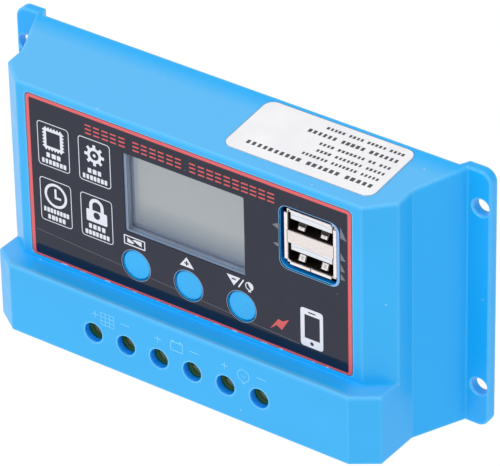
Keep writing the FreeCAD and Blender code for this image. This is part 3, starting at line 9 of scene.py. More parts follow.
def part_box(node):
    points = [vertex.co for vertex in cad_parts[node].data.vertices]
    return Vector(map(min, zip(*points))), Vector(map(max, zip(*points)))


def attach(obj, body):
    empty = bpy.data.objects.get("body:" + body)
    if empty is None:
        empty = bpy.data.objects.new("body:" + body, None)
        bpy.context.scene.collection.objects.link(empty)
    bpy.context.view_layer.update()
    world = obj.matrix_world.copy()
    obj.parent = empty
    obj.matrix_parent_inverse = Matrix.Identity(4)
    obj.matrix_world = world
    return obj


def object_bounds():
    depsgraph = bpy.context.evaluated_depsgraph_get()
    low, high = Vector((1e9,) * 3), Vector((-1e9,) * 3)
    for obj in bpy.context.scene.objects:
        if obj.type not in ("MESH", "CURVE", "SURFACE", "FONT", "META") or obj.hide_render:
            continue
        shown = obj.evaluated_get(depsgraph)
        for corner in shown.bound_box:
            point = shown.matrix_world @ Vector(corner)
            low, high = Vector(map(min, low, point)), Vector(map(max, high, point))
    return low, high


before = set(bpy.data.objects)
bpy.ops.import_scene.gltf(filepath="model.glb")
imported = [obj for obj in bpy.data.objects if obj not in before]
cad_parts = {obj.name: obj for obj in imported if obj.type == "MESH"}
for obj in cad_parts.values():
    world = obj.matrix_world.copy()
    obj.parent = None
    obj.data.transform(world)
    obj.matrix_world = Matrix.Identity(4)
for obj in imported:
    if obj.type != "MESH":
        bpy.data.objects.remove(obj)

# Looks of a wall-mounted charge controller.  The CAD nodes keep their shapes; this script
# gives them materials and adds the printed, stuck-on and raised details that ride on them.
# Lengths are in millimetres, measured from the boxes of the CAD nodes in the row frame: +X right,
# +Z up, front faces -Y.  Only the camera and the light have places of their own, in metres.

MM = 0.001
KEYS = ("menu", "up", "down")
TERMINALS = range(1, 7)
cad_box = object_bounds()
random.seed(7)


def box_mm(node):
    """A CAD node's lowest and highest corners in millimetres."""
    low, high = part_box(node)
    return low / MM, high / MM


def middle(node):
    """Middle of a node's box across and up, in millimetres."""
    low, high = box_mm(node)
    return (low.x + high.x) / 2, (low.z + high.z) / 2


film_low, film_high = box_mm("front_overlay")


# ---------------------------------------------------------------- material recipes


def srgb(red, green, blue):
    """Linear colour from display values 0-255."""

    def channel(value):
        value /= 255
        return value / 12.92 if value <= 0.04045 else ((value + 0.055) / 1.055) ** 2.4

    return (channel(red), channel(green), channel(blue), 1.0)


def scaled(color, factor):
    return tuple(min(1.0, c * factor) for c in color[:3]) + (1.0,)


class Graph:
    """Builds a material's nodes; every texture works in object space, in metres."""

    def __init__(self, name):
        self.material = bpy.data.materials.new(name)
        self.material.use_nodes = True
        self.tree = self.material.node_tree
        self.tree.nodes.clear()
        self.out = self.node("ShaderNodeOutputMaterial")
        self.coords = self.node("ShaderNodeTexCoord").outputs["Object"]

    def node(self, kind, **inputs):
        made = self.tree.nodes.new(kind)
        for name, value in inputs.items():
            self.feed(made.inputs[name.replace("_", " ")], value)
        return made

    def feed(self, socket, value):
        if isinstance(value, bpy.types.NodeSocket):
            self.tree.links.new(value, socket)
        else:
            socket.default_value = value

    def noise(self, size_mm, detail=3.0, stretch=(1, 1, 1)):
        """Noise whose features are about size_mm across."""
        mapping = self.node("ShaderNodeMapping", Vector=self.coords, Scale=stretch)
        return self.node(
            "ShaderNodeTexNoise",
            Vector=mapping.outputs["Vector"],
            Scale=1 / (size_mm * MM),
            Detail=detail,
        ).outputs["Fac"]

    def span(self, value, low, high, to_low=0.0, to_high=1.0):
        """Maps value from one range to another, clamped."""
        made = self.node("ShaderNodeMapRange", Value=value)
        ends = {"From Min": low, "From Max": high, "To Min": to_low, "To Max": to_high}
        for name, number in ends.items():
            made.inputs[name].default_value = number
        return made.outputs["Result"]

    def ramp(self, length, low_mm, high_mm, to_low=0.0, to_high=1.0):
        """The same as span for a length, with its range given in millimetres."""
        return self.span(length, low_mm * MM, high_mm * MM, to_low, to_high)

    def mix(self, factor, first, second):
        made = self.tree.nodes.new("ShaderNodeMix")
        made.data_type = "RGBA"
        self.feed(made.inputs["Factor"], factor)
        self.feed(made.inputs["A"], first)
        self.feed(made.inputs["B"], second)
        return made.outputs["Result"]

    def math(self, operation, first, second):
        made = self.tree.nodes.new("ShaderNodeMath")
        made.operation = operation
        self.feed(made.inputs[0], first)
        self.feed(made.inputs[1], second)
        return made.outputs["Value"]

    def times(self, first, *others):
        """Product of masks: 1 where every one of them is 1."""
        for other in others:
            first = self.math("MULTIPLY", first, other)
        return first

    def distance(self, value, origin_mm=0.0):
        """Absolute difference from an origin given in millimetres."""
        return self.math("ABSOLUTE", self.math("SUBTRACT", value, origin_mm * MM), 0.0)

    def bump(self, height, depth_mm, normal=None):
        made = self.node("ShaderNodeBump", Height=height, Distance=depth_mm * MM)
        if normal is not None:
            self.feed(made.inputs["Normal"], normal)
        return made.outputs["Normal"]

    def edges(self, radius_mm):
        """Normals softened near edges, how strongly they bend outwards, and openness (0 to 1)."""
        unbent, bent_most = 0.999, 0.97
        sheltered, in_the_open = 0.80, 0.92
        soft = self.node("ShaderNodeBevel", Radius=radius_mm * MM)
        soft.samples = 6
        true = self.node("ShaderNodeNewGeometry").outputs["True Normal"]
        dot = self.tree.nodes.new("ShaderNodeVectorMath")
        dot.operation = "DOT_PRODUCT"
        self.feed(dot.inputs[0], soft.outputs["Normal"])
        self.feed(dot.inputs[1], true)
        bent = self.span(dot.outputs["Value"], unbent, bent_most)
        open_sky = self.node("ShaderNodeAmbientOcclusion", Distance=radius_mm * 3 * MM)
        open_sky.samples = 6
        outer = self.span(open_sky.outputs["AO"], sheltered, in_the_open)
        return soft.outputs["Normal"], self.times(bent, outer), open_sky.outputs["AO"]

    def place(self):
        """Object-space X, Y and Z as three values, in metres."""
        return self.node("ShaderNodeSeparateXYZ", Vector=self.coords).outputs

    def facing(self, axis):
        """How far a face looks along an axis, -1 to 1."""
        true = self.node("ShaderNodeNewGeometry").outputs["True Normal"]
        return self.node("ShaderNodeSeparateXYZ", Vector=true).outputs[axis]

    def within(self, value, low_mm, high_mm):
        """1 where a value lies between two positions given in millimetres."""
        above = self.math("GREATER_THAN", value, low_mm * MM)
        return self.times(above, self.math("LESS_THAN", value, high_mm * MM))

    def specks(self, cell_mm, share):
        """Small scattered dots on a share of the cells: 1 inside a dot, 0 elsewhere."""
        dot, dot_edge = 0.05, 0.09
        cells = self.node("ShaderNodeTexVoronoi", Vector=self.coords, Scale=1 / (cell_mm * MM))
        near = self.span(cells.outputs["Distance"], dot, dot_edge, 1.0, 0.0)
        chosen = self.node("ShaderNodeSeparateColor", Color=cells.outputs["Color"]).outputs["Red"]
        return self.times(near, self.span(chosen, 1 - share, 1 - share + 0.01))

    def surface(self, color, rough, metallic=0.0, normal=None, **more):
        shader = self.node("ShaderNodeBsdfPrincipled", Base_Color=color, Roughness=rough)
        shader.inputs["Metallic"].default_value = metallic
        for name, value in more.items():
            self.feed(shader.inputs[name.replace("_", " ")], value)
        if normal is not None:
            self.feed(shader.inputs["Normal"], normal)
        self.tree.links.new(shader.outputs["BSDF"], self.out.inputs["Surface"])
        return self.material


def plastic(name, color, rough=0.35, grain_mm=0.35, grain_depth=0.004, tint=0.06, dust=0.0):
    """Moulded plastic: faint tone drift, fine grain and, where asked, a few dust specks."""
    g = Graph(name)
    drift = g.span(g.noise(18.0), 0.35, 0.65)
    base = g.mix(drift, scaled(color, 1 - tint), scaled(color, 1 + tint))
    if dust:
        base = g.mix(g.times(g.specks(2.6, dust), 0.45), base, srgb(190, 225, 250))
    fine = g.noise(grain_mm, 2.0)
    gloss = g.span(g.noise(6.0), 0.3, 0.7, rough * 0.85, rough * 1.15)
    return g.surface(base, gloss, normal=g.bump(fine, grain_depth))


def metal(name, color, rough=0.3, brushed=(1, 1, 1), grain_mm=0.25, depth=0.003, tarnish=0.12):
    """Metal with directional grain, uneven polish and a little tarnish."""
    g = Graph(name)
    lines = g.noise(grain_mm, 4.0, brushed)
    stain = g.span(g.noise(2.5, 4.0), 0.45, 0.75)
    base = g.mix(stain, color, scaled(color, 1 - tarnish))
    gloss = g.span(lines, 0.3, 0.7, rough * 0.75, rough * 1.3)
    return g.surface(base, gloss, metallic=1.0, normal=g.bump(lines, depth))


def ink(name, color, rough=0.3, worn=0.10):
    """Screen-printed ink: slightly uneven coverage and a soft orange-peel surface."""
    g = Graph(name)
    coverage = g.span(g.noise(0.4, 3.0), 0.35, 0.65)
    base = g.mix(coverage, scaled(color, 1 - worn), color)
    gloss = g.span(g.noise(1.5), 0.3, 0.7, rough * 0.8, rough * 1.2)
    return g.surface(base, gloss, normal=g.bump(g.noise(0.2), 0.001))


def assign(material, *nodes):
    """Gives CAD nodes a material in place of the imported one."""
    for name in nodes:
        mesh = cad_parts[name].data
        mesh.materials.clear()
        mesh.materials.append(material)


# ---------------------------------------------------------------- casing materials

# One plastic: each tone is how a region of it looks under the photograph's light.
# SKY_BLUE is the plastic's own colour. The lighter tones are painted light, the darker ones painted
# shade, and the palest a painted highlight along edges.
SKY_BLUE = (0.024, 0.410, 0.85, 1.0)
DEEP_SHADE_BLUE = (0.0, 0.395, 0.89, 1.0)
HOLLOW_LIT_BLUE = (0.0, 0.50, 0.96, 1.0)
LEDGE_LIT_BLUE = (0.0, 0.42, 0.98, 1.0)
SOCKET_SHADE_BLUE = (0.0, 0.10, 0.46, 1.0)
RECESS_SHADE_BLUE = (0.0, 0.29, 0.92, 1.0)
TOP_LIT_BLUE = (0.085, 0.455, 0.86, 1.0)
EDGE_HIGHLIGHT_BLUE = srgb(125, 212, 255)


def casing_tones(g, base, openness):
    """Painted light and shade: lighter on top, deeper at the sides and the rear, brighter in the
    hollows.
    """
    rear = box_mm("front_housing")[1].y
    # Painted light on upward faces, painted shade on sideways and rear faces, painted light in the
    # hollows.
    base = g.mix(g.span(g.facing("Z"), 0.5, 0.8), base, TOP_LIT_BLUE)
    sideways = g.span(g.distance(g.facing("X")), 0.6, 0.9)
    rearmost = g.ramp(g.place()["Y"], rear - 9.0, rear - 4.0)
    base = g.mix(g.math("MAXIMUM", rearmost, sideways), base, DEEP_SHADE_BLUE)
    return g.mix(g.span(openness, 0.80, 0.50), base, HOLLOW_LIT_BLUE)


def ledge_mask(g):
    """The step below the film, fading out beyond the film's ends: it gets painted light."""
    x, y, z = g.place()
    front = box_mm("front_housing")[0].y
    level = g.within(z, film_low.z - 7.0, film_low.z)
    ends = g.ramp(g.distance(x), film_high.x - 1.0, film_high.x + 4.0, 1.0, 0.0)
    return g.times(g.within(y, front + 1.5, front + 7.0), level, ends)


def bore_mask(g):
    """Walls of the screwdriver holes in the terminal cover, which get painted shade."""
    x, y, z = g.place()
    front = box_mm("front_housing")[0].y
    low = box_mm(f"terminal_screw_{TERMINALS[0]}")[0]
    high = box_mm(f"terminal_screw_{TERMINALS[-1]}")[1]
    level = g.within(z, low.z - 0.6, high.z + 0.6)
    return g.times(level, g.within(y, front + 0.03, front + 4.0), g.within(x, low.x - 0.5, high.x + 0.5))


def socket_mask(g):
    """Walls round the charging socket, behind the panel's face, which get painted shade."""
    x, y, z = g.place()
    front = box_mm("front_housing")[0].y
    low, high = box_mm("usb_shell")
    beside = g.within(x, low.x - 2.0, high.x + 2.0)
    level = g.within(z, low.z - 2.0, high.z + 2.0)
    return g.times(beside, level, g.within(y, front + 6.5, front + 20.0))


def casing_material():
    """Satin ABS: sky blue with painted light and shade by region and painted highlights along its edges,
    faint flow marks and scattered dust.
    """
    g = Graph("casing_blue")
    soft, edge, openness = g.edges(0.6)
    flow = g.span(g.noise(26.0, 2.0, (0.5, 1, 1.4)), 0.3, 0.7)
    base = g.mix(flow, scaled(SKY_BLUE, 0.97), scaled(SKY_BLUE, 1.03))
    base = casing_tones(g, base, openness)
    ledge = ledge_mask(g)
    bore = bore_mask(g)
    # Painted light on the ledge below the film.
    base = g.mix(g.times(ledge, 0.8), base, LEDGE_LIT_BLUE)
    # Painted shade on the walls of the screwdriver holes.
    base = g.mix(bore, base, RECESS_SHADE_BLUE)
    # Painted shade on the walls round the socket, darker higher up.
    socket_foot = box_mm("usb_shell")[0].z
    rise = g.ramp(g.place()["Z"], socket_foot - 1.0, socket_foot + 3.0)
    base = g.mix(socket_mask(g), base, g.mix(rise, RECESS_SHADE_BLUE, SOCKET_SHADE_BLUE))
    # Painted highlights along the casing's edges, kept off the ledge and the holes.
    bare = g.math("SUBTRACT", 1.0, g.math("MAXIMUM", ledge, bore))
    base = g.mix(g.times(edge, bare, 0.85), base, EDGE_HIGHLIGHT_BLUE)
    base = g.mix(g.times(g.specks(3.1, 0.10), 0.45), base, srgb(205, 232, 252))
    fine = g.noise(0.22, 2.0)
    gloss = g.span(g.noise(5.0, 3.0), 0.3, 0.7, 0.28, 0.36)
    return g.surface(base, gloss, normal=g.bump(fine, 0.0010, soft), Specular_IOR_Level=0.42)


def film_material():
    """Dark gloss film: near-black ink under clear polyester, with hairline scratches."""
    g = Graph("film_dark")
    mottle = g.span(g.noise(9.0, 4.0), 0.35, 0.65)
    base = g.mix(mottle, (0.003, 0.0055, 0.022, 1), (0.005, 0.0075, 0.028, 1))
    base = g.mix(g.times(g.specks(2.2, 0.14), 0.30), base, srgb(150, 155, 170))
    scratches = g.noise(0.18, 2.0, (0.04, 1, 1))
    gloss = g.span(scratches, 0.45, 0.75, 0.045, 0.12)
    ripple = g.bump(g.noise(14.0, 2.0), 0.008)
    return g.surface(base, gloss, normal=ripple, Specular_IOR_Level=0.40)


def pane_material():
    """Clear pane: lets light straight through, with a thin smeared reflection at its face."""
    g = Graph("window_clear")
    clear = g.node("ShaderNodeBsdfTransparent", Color=(0.97, 0.98, 0.99, 1))
    smear = g.span(g.noise(4.0, 4.0, (0.4, 1, 1)), 0.4, 0.7, 0.03, 0.10)
    glossy = g.node("ShaderNodeBsdfGlossy", Roughness=smear)
    back = g.node("ShaderNodeNewGeometry").outputs["Backfacing"]
    reflected = 0.05
    share = g.span(back, 0.0, 1.0, reflected, 0.0)
    blend = g.node("ShaderNodeMixShader", Fac=share)
    g.tree.links.new(clear.outputs["BSDF"], blend.inputs[1])
    g.tree.links.new(glossy.outputs["BSDF"], blend.inputs[2])
    g.tree.links.new(blend.outputs["Shader"], g.out.inputs["Surface"])
    return g.material


def screen_material():
    """Blank grey display with painted shade, darker and bluer towards its foot and left side, and a soft
    glow that is painted light.
    """
    g = Graph("display_glass")
    low, _ = box_mm("display_glass")
    x, _, z = g.place()
    # Painted shade: darker and bluer towards the foot and the left side.
    rise = g.ramp(z, low.z + 2.0, low.z + 10.0)
    shade = g.mix(rise, srgb(112, 126, 142), srgb(170, 174, 176))
    side = g.ramp(x, low.x + 3.6, low.x + 4.4, 0.45, 0.0)
    shade = g.mix(side, shade, srgb(124, 132, 148))
    haze = g.span(g.noise(16.0, 2.0), 0.3, 0.7, 0.0, 0.03)
    shade = g.mix(haze, shade, srgb(190, 194, 196))
    grid = g.span(g.noise(0.12, 1.0), 0.3, 0.7, 0.0, 0.03)
    shade = g.mix(grid, shade, srgb(120, 126, 132))
    # Painted light: the screen glows as if lit, over a darkened base colour.
    dull = g.mix(0.75, shade, (0, 0, 0, 1))
    painted_glow = {"Emission_Color": shade, "Emission_Strength": 0.74}
    return g.surface(dull, 0.5, Specular_IOR_Level=0.2, **painted_glow)


def holder_material():
    """Grey-blue moulded surround with painted shade: lighter towards its front edge, darker deeper in.
    """
    g = Graph("holder_grey")
    low, _ = box_mm("display_holder")
    # Painted shade, darker deeper into the window.
    depth = g.ramp(g.place()["Y"], low.y, low.y + 2.6)
    base = g.mix(depth, srgb(142, 160, 186), srgb(92, 106, 132))
    fine = g.noise(0.2, 2.0)
    return g.surface(base, g.span(fine, 0.3, 0.7, 0.35, 0.5), normal=g.bump(fine, 0.003))


# The socket's two ports: their pitch, how far their bar sits above the shell's middle, and how
# far each spring stands from a port's middle.
PORT_PITCH = 8.25
PORT_LIFT = 0.1
SPRING_OFFSET = 3.1


def shell_bar(g, across):
    """Masks of the bar between the two ports and of the seams at its ends."""
    low, high = box_mm("usb_shell")
    upward = g.distance(g.place()["Z"], (low.z + high.z) / 2 + PORT_LIFT)
    level = g.ramp(upward, 1.60, 1.75, 1.0, 0.0)
    bar = g.times(level, g.ramp(across, 6.20, 6.24, 1.0, 0.0))
    return bar, g.times(g.within(across, 6.22, 6.42), g.times(level, 0.8))


def shell_springs(g, across, forward):
    """Masks of the spring tips' unlit parts and of their flat, greyer middles.

    Depths are behind the shell's lip, heights above the foot of the shell or of a port.
    """
    low, _ = box_mm("usb_shell")
    _, y, z = g.place()
    aside = g.distance(across, SPRING_OFFSET)
    rise = g.math("MODULO", g.math("SUBTRACT", z, low.z * MM), PORT_PITCH * MM)
    tip = g.times(g.span(forward, 0.3, 0.4), g.within(y, low.y + 0.85, low.y + 1.7))
    upper_port = g.within(z, low.z + 7.95, low.z + 13.95)
    tucked = g.times(upper_port, g.ramp(rise, 1.80, 1.95))
    unlit = g.times(tip, g.math("MAXIMUM", tucked, g.ramp(aside, 0.74, 0.82)))
    flat = g.times(g.ramp(aside, 0.35, 0.50, 1.0, 0.0), g.within(rise, 1.45, 2.25))
    return unlit, g.times(tip, flat)


def shell_material():
    """Tinned steel: bright lip and spring faces, walls that darken into the ports with painted shade,
    dark seams and painted highlights along its edges.
    """
    g = Graph("socket_steel")
    low, high = box_mm("usb_shell")
    x, y, _ = g.place()
    soft, edge, _ = g.edges(0.15)
    forward = g.distance(g.facing("Y"))
    across = g.distance(x, (low.x + high.x) / 2)
    brush = g.noise(0.25, 4.0, (0.15, 1, 1))
    streaks = g.span(brush, 0.3, 0.7)
    bar, seam = shell_bar(g, across)
    unlit, flat = shell_springs(g, across, forward)
    bright = g.mix(streaks, srgb(236, 224, 222), srgb(250, 242, 242))
    bright = g.mix(bar, bright, g.mix(streaks, srgb(222, 212, 208), srgb(234, 227, 224)))
    bright = g.mix(g.times(flat, 0.6), bright, srgb(160, 160, 164))
    # Painted shade on the walls into the ports, joined with the dark seams and the springs' painted
    # shade.
    inward = g.ramp(y, low.y + 0.05, low.y + 0.55)
    painted_shade_and_seams = g.times(inward, g.span(forward, 0.30, 0.55, 1.0, 0.0))
    painted_shade_and_seams = g.math("MAXIMUM", g.math("MAXIMUM", painted_shade_and_seams, seam), unlit)
    base = g.mix(painted_shade_and_seams, bright, srgb(30, 27, 24))
    # Painted highlights along the shell's edges.
    base = g.mix(g.times(edge, 0.4), base, srgb(250, 248, 250))
    gloss = g.span(brush, 0.3, 0.7, 0.32, 0.48)
    return g.surface(base, gloss, metallic=0.45, normal=g.bump(brush, 0.0015, soft))


def tongue_material():
    """White moulding with a faint, slightly bowed painted shade line along each tongue's face, and
    painted light above it.
    """
    g = Graph("socket_white")
    low, high = box_mm("usb_insulator")
    soft, _, _ = g.edges(0.2)
    x, _, z = g.place()
    repeat, curvature = 8.3, 12.0
    aside = g.math("SUBTRACT", x, (low.x + high.x) / 2 * MM)
    bow = g.times(g.math("POWER", aside, 2.0), curvature)
    rise = g.math("MODULO", g.math("SUBTRACT", z, low.z * MM), repeat * MM)
    line = g.math("ADD", rise, bow)
    painted_line = g.math("SUBTRACT", g.ramp(line, 4.05, 4.15), g.ramp(line, 4.25, 4.35))
    # Painted light above the line, painted shade along it.
    base = g.mix(g.ramp(line, 3.0, 5.0), srgb(218, 222, 230), srgb(236, 239, 246))
    base = g.mix(g.times(painted_line, 0.45), base, srgb(140, 148, 160))
    fine = g.noise(0.2, 2.0)
    return g.surface(base, g.span(fine, 0.3, 0.7, 0.35, 0.45), normal=g.bump(fine, 0.003, soft))


def board_material():
    """Green solder mask with slightly raised copper tracks under it."""
    g = Graph("board_green")
    tracks = g.node("ShaderNodeTexBrick", Vector=g.coords, Scale=220.0)
    tracks.inputs["Mortar Size"].default_value = 0.03
    raised = tracks.outputs["Fac"]
    base = g.mix(raised, srgb(16, 92, 52), srgb(30, 120, 68))
    base = g.mix(g.span(g.noise(5.0), 0.3, 0.7, 0.0, 0.25), base, srgb(10, 70, 42))
    return g.surface(base, 0.28, normal=g.bump(raised, 0.03))


def label_material():
    """Satin paper sticker with soft fibre and a slightly cool tone drift."""
    g = Graph("label_white")
    fibre = g.noise(0.25, 5.0, (1, 0.5, 1))
    base = g.mix(g.span(g.noise(7.0), 0.3, 0.7), (0.80, 0.80, 0.83, 1), (0.86, 0.86, 0.88, 1))
    base = g.mix(g.span(fibre, 0.3, 0.7, 0.0, 0.08), base, (0.70, 0.70, 0.74, 1))
    return g.surface(base, g.span(fibre, 0.3, 0.7, 0.35, 0.5), normal=g.bump(fibre, 0.004))


def winding_material():
    """Enamelled copper wire wound in close turns along the core's axis."""
    g = Graph("copper_winding")
    turns = g.node("ShaderNodeTexWave", Vector=g.coords, Scale=420.0)
    turns.bands_direction = "Y"
    base = g.mix(turns.outputs["Fac"], srgb(120, 58, 26), srgb(214, 120, 62))
    return g.surface(base, 0.25, metallic=0.8, normal=g.bump(turns.outputs["Fac"], 0.12))


def dress_cad_nodes():
    """A detailed material for every CAD node."""
    steel = metal("tinned_steel", (0.72, 0.71, 0.68, 1), 0.28, (0.2, 1, 1))
    wire = metal("tinned_wire", (0.74, 0.74, 0.72, 1), 0.24, (1, 0.15, 1), 0.12)
    zinc = metal("screw_steel", (0.66, 0.65, 0.60, 1), 0.30, (1, 1, 1), 0.18, 0.006, 0.25)
    screws = metal("screw_yellow", (0.72, 0.74, 0.50, 1), 0.38, (1, 1, 1), 0.18, 0.006, 0.25)
    black = plastic("moulding_black", (0.018, 0.018, 0.020, 1), 0.45, 0.15, 0.012, 0.15)
    assign(casing_material(), "front_housing")
    assign(film_material(), "front_overlay")
    assign(pane_material(), "display_window")
    assign(screen_material(), "display_glass")
    assign(board_material(), "main_board")
    assign(label_material(), "rating_label")
    assign(winding_material(), "inductor_winding")
    assign(holder_material(), "display_holder")
    assign(plastic("light_guide", srgb(205, 214, 225), 0.2, 0.5, 0.003), "display_backlight")
    assign(wire, "display_pins", "switch_legs", "transistor_leads", "component_leads", "chip_leads")
    assign(plastic("switch_black", (0.012, 0.012, 0.012, 1), 0.5, 0.12, 0.01), "switch_bases")
    assign(steel, "switch_plates", "transistor_tabs")
    assign(shell_material(), "usb_shell")
    assign(metal("contact_metal", (0.86, 0.70, 0.42, 1), 0.22, (1, 0.2, 1), 0.1), "usb_contacts")
    assign(tongue_material(), "usb_insulator")
    assign(plastic("terminal_green", srgb(34, 100, 52), 0.30, 0.2, 0.008, 0.12), "terminal_block")
    assign(metal("tinned_brass", (0.74, 0.68, 0.52, 1), 0.3, (1, 1, 0.2)), "conductor_bars")
    assign(black, "transistor_bodies", "controller_chip", "driver_chips", "diode_bodies")
    assign(zinc, "transistor_screws", "board_screws")
    assign(plastic("pad_grey", srgb(150, 153, 158), 0.7, 0.3, 0.02), "thermal_pad")
    assign(plastic("capacitor_sleeve", srgb(34, 40, 66), 0.3, 0.4, 0.003), "capacitor_cans")
    assign(plastic("seal_rubber", (0.02, 0.02, 0.02, 1), 0.7, 0.2, 0.02), "capacitor_seals")
    assign(plastic("ferrite", (0.03, 0.03, 0.032, 1), 0.6, 0.12, 0.03), "inductor_core")
    assign(plastic("resistor_body", (0.02, 0.02, 0.022, 1), 0.4, 0.1, 0.01), "chip_resistors")
    assign(metal("shunt_wire", (0.66, 0.54, 0.40, 1), 0.35, (0.1, 1, 1)), "current_shunt")
    anodised = metal("heat_sink_aluminium", (0.62, 0.63, 0.64, 1), 0.42, (1, 1, 0.05), 0.3, 0.006)
    assign(anodised, "rear_heat_sink")
    assign(metal("screw_black", (0.06, 0.06, 0.065, 1), 0.4, (1, 1, 1), 0.15, 0.008), "heat_sink_screws")
    keys = plastic("button_blue", (0.010, 0.412, 0.87, 1), 0.26, 0.2, 0.0015, 0.03, 0.05)
    plunger = plastic("plunger_black", (0.02, 0.02, 0.02, 1), 0.4, 0.15, 0.006)
    cage = metal("cage_steel", (0.64, 0.60, 0.50, 1), 0.32, (1, 1, 0.3), 0.2, 0.005, 0.3)
    for key in KEYS:
        assign(keys, f"{key}_button")
        assign(plunger, f"{key}_switch_plunger")
    for number in TERMINALS:
        assign(screws, f"terminal_screw_{number}")
        assign(cage, f"clamp_cage_{number}")


# ---------------------------------------------------------------- flat shapes


def rect(left, right, low, high):
    return [(left, low), (right, low), (right, high), (left, high)]


def arc(x, z, radius, start, end, steps=8):
    """Points on an arc, angles in degrees."""
    points = []
    for i in range(steps + 1):
        angle = math.radians(start + (end - start) * i / steps)
        points.append((x + radius * math.cos(angle), z + radius * math.sin(angle)))
    return points


def round_rect(left, right, low, high, radius, steps=6):
    return (
        arc(right - radius, high - radius, radius, 0, 90, steps)
        + arc(left + radius, high - radius, radius, 90, 180, steps)
        + arc(left + radius, low + radius, radius, 180, 270, steps)
        + arc(right - radius, low + radius, radius, 270, 360, steps)
    )


def circle(x, z, radius, steps=36):
    return arc(x, z, radius, 0, 360, steps)[:-1]


def frame_loops(left, right, low, high, radius, line):
    """Outer and inner loops of a rounded frame."""
    inner = max(radius - line, 0.05)
    return [
        round_rect(left, right, low, high, radius),
        round_rect(left + line, right - line, low + line, high - line, inner),
    ]


def bar_between(x0, z0, x1, z1, width):
    """A straight bar from one point to another."""
    run = Vector((x1 - x0, z1 - z0)).normalized()
    side = Vector((-run.y, run.x)) * width / 2
    return [
        (x0 + side.x, z0 + side.y),
        (x0 - side.x, z0 - side.y),
        (x1 - side.x, z1 - side.y),
        (x1 + side.x, z1 + side.y),
    ]


def plus(across, up, half_width, half_height):
    """Plus sign about the origin: its reach both ways and half of each arm's thickness."""
    corner = [(half_width, up), (half_width, half_height), (across, half_height)]
    outline = []
    for x, z, order in ((1, 1, 1), (1, -1, -1), (-1, -1, 1), (-1, 1, -1)):
        outline += [(x * px, z * pz) for px, pz in corner[::order]]
    return outline


def shifted(loops, x, z):
    return [[(px + x, pz + z) for px, pz in loop] for loop in loops]


def inset(node, left, right=None, foot=None, top=None):
    """Sides of a node's front outline moved inwards by one margin, or by four."""
    low, high = box_mm(node)
    right, foot, top = (left if margin is None else margin for margin in (right, foot, top))
    return low.x + left, high.x - right, low.z + foot, high.z - top


def sheet_mesh(loops, thickness):
    """A flat solid in millimetres from loops; a loop inside another is a hole."""
    curve = bpy.data.curves.new("outline", "CURVE")
    curve.dimensions = "2D"
    curve.fill_mode = "BOTH"
    curve.extrude = thickness / 2
    for loop in loops:
        spline = curve.splines.new("POLY")
        spline.points.add(len(loop) - 1)
        for point, (x, z) in zip(spline.points, loop):
            point.co = (x, z, 0, 1)
        spline.use_cyclic_u = True
    holder = bpy.data.objects.new("outline", curve)
    mesh = bpy.data.meshes.new_from_object(holder)
    bpy.data.objects.remove(holder)
    bpy.data.curves.remove(curve)
    return mesh


def flat_piece(name, shapes, place, thickness, material, soft=0.0):
    """Joins flat solids into one piece of the casing; place maps their plane into the row frame."""
    work = bmesh.new()
    for loops in shapes:
        mesh = sheet_mesh(loops, thickness)
        work.from_mesh(mesh)
        bpy.data.meshes.remove(mesh)
    bmesh.ops.remove_doubles(work, verts=work.verts, dist=1e-4)
    bmesh.ops.recalc_face_normals(work, faces=work.faces)
    bmesh.ops.transform(work, matrix=place, verts=work.verts)
    mesh = bpy.data.meshes.new(name)
    work.to_mesh(mesh)
    work.free()
    mesh.materials.append(material)
    piece = bpy.data.objects.new(name, mesh)
    bpy.context.scene.collection.objects.link(piece)
    if soft:
        bevel = piece.modifiers.new("soft_edge", "BEVEL")
        bevel.width = soft * MM
        bevel.segments = 2
        bevel.limit_method = "ANGLE"
    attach(piece, "housing")


def facing_front(y_mm, thickness):
    """Plane for a sheet whose back lies on the depth y_mm and whose face looks to -Y."""
    turn = Matrix(((1, 0, 0, 0), (0, 0, -1, 0), (0, 1, 0, 0), (0, 0, 0, 1)))
    centre = Matrix.Translation((0, (y_mm - thickness / 2) * MM, 0))
    return centre @ turn @ Matrix.Scale(MM, 4)


# ---------------------------------------------------------------- printed film

PRINT = 0.02
PRINT_SUNK = 0.005
film_front = facing_front(film_low.y + PRINT_SUNK, PRINT)
red_ink = ink("ink_red", srgb(222, 92, 98))
red_title = ink("ink_red_fine", srgb(214, 84, 86))
white_ink = ink("ink_white", srgb(226, 229, 238))
grey_ink = ink("ink_grey", srgb(112, 114, 126))


def print_on_film(name, shapes, material):
    flat_piece(name, shapes, film_front, PRINT, material)


def film_border():
    """Red line round the film, with dark hairlines along both of its sides; the outer one is painted
    shadow in the gap round the film.
    """
    thin, corner, inner_corner, sunk = 0.13, 1.3, 0.4, 0.002
    outside = inset("front_overlay", 0.0)
    inside = inset("front_overlay", 1.05, 1.05, 0.55, 0.95)
    loops = [round_rect(*outside, corner), round_rect(*inside, inner_corner)]
    print_on_film("film_border", [loops], red_ink)
    inner_line = frame_loops(*inside, inner_corner, thin)
    # The outer hairline is painted shadow in the gap round the film.
    outer_shadow_line = frame_loops(*outside, corner, thin * 0.7)
    dark_red = ink("dark_red_ink_and_shadow", srgb(112, 26, 44))
    place = facing_front(film_low.y + sunk, PRINT)
    flat_piece("film_border_lines", [inner_line, outer_shadow_line], place, PRINT, dark_red)


def word(x, z, letters, pitch, height):
    """A row of plain solid blocks that stands for a word without spelling anything."""
    marks = []
    for i in range(letters):
        left = x + i * pitch
        width = pitch * random.uniform(0.66, 0.84)
        marks.append([round_rect(left, left + width, z, z + height, height * 0.08, 2)])
    return marks


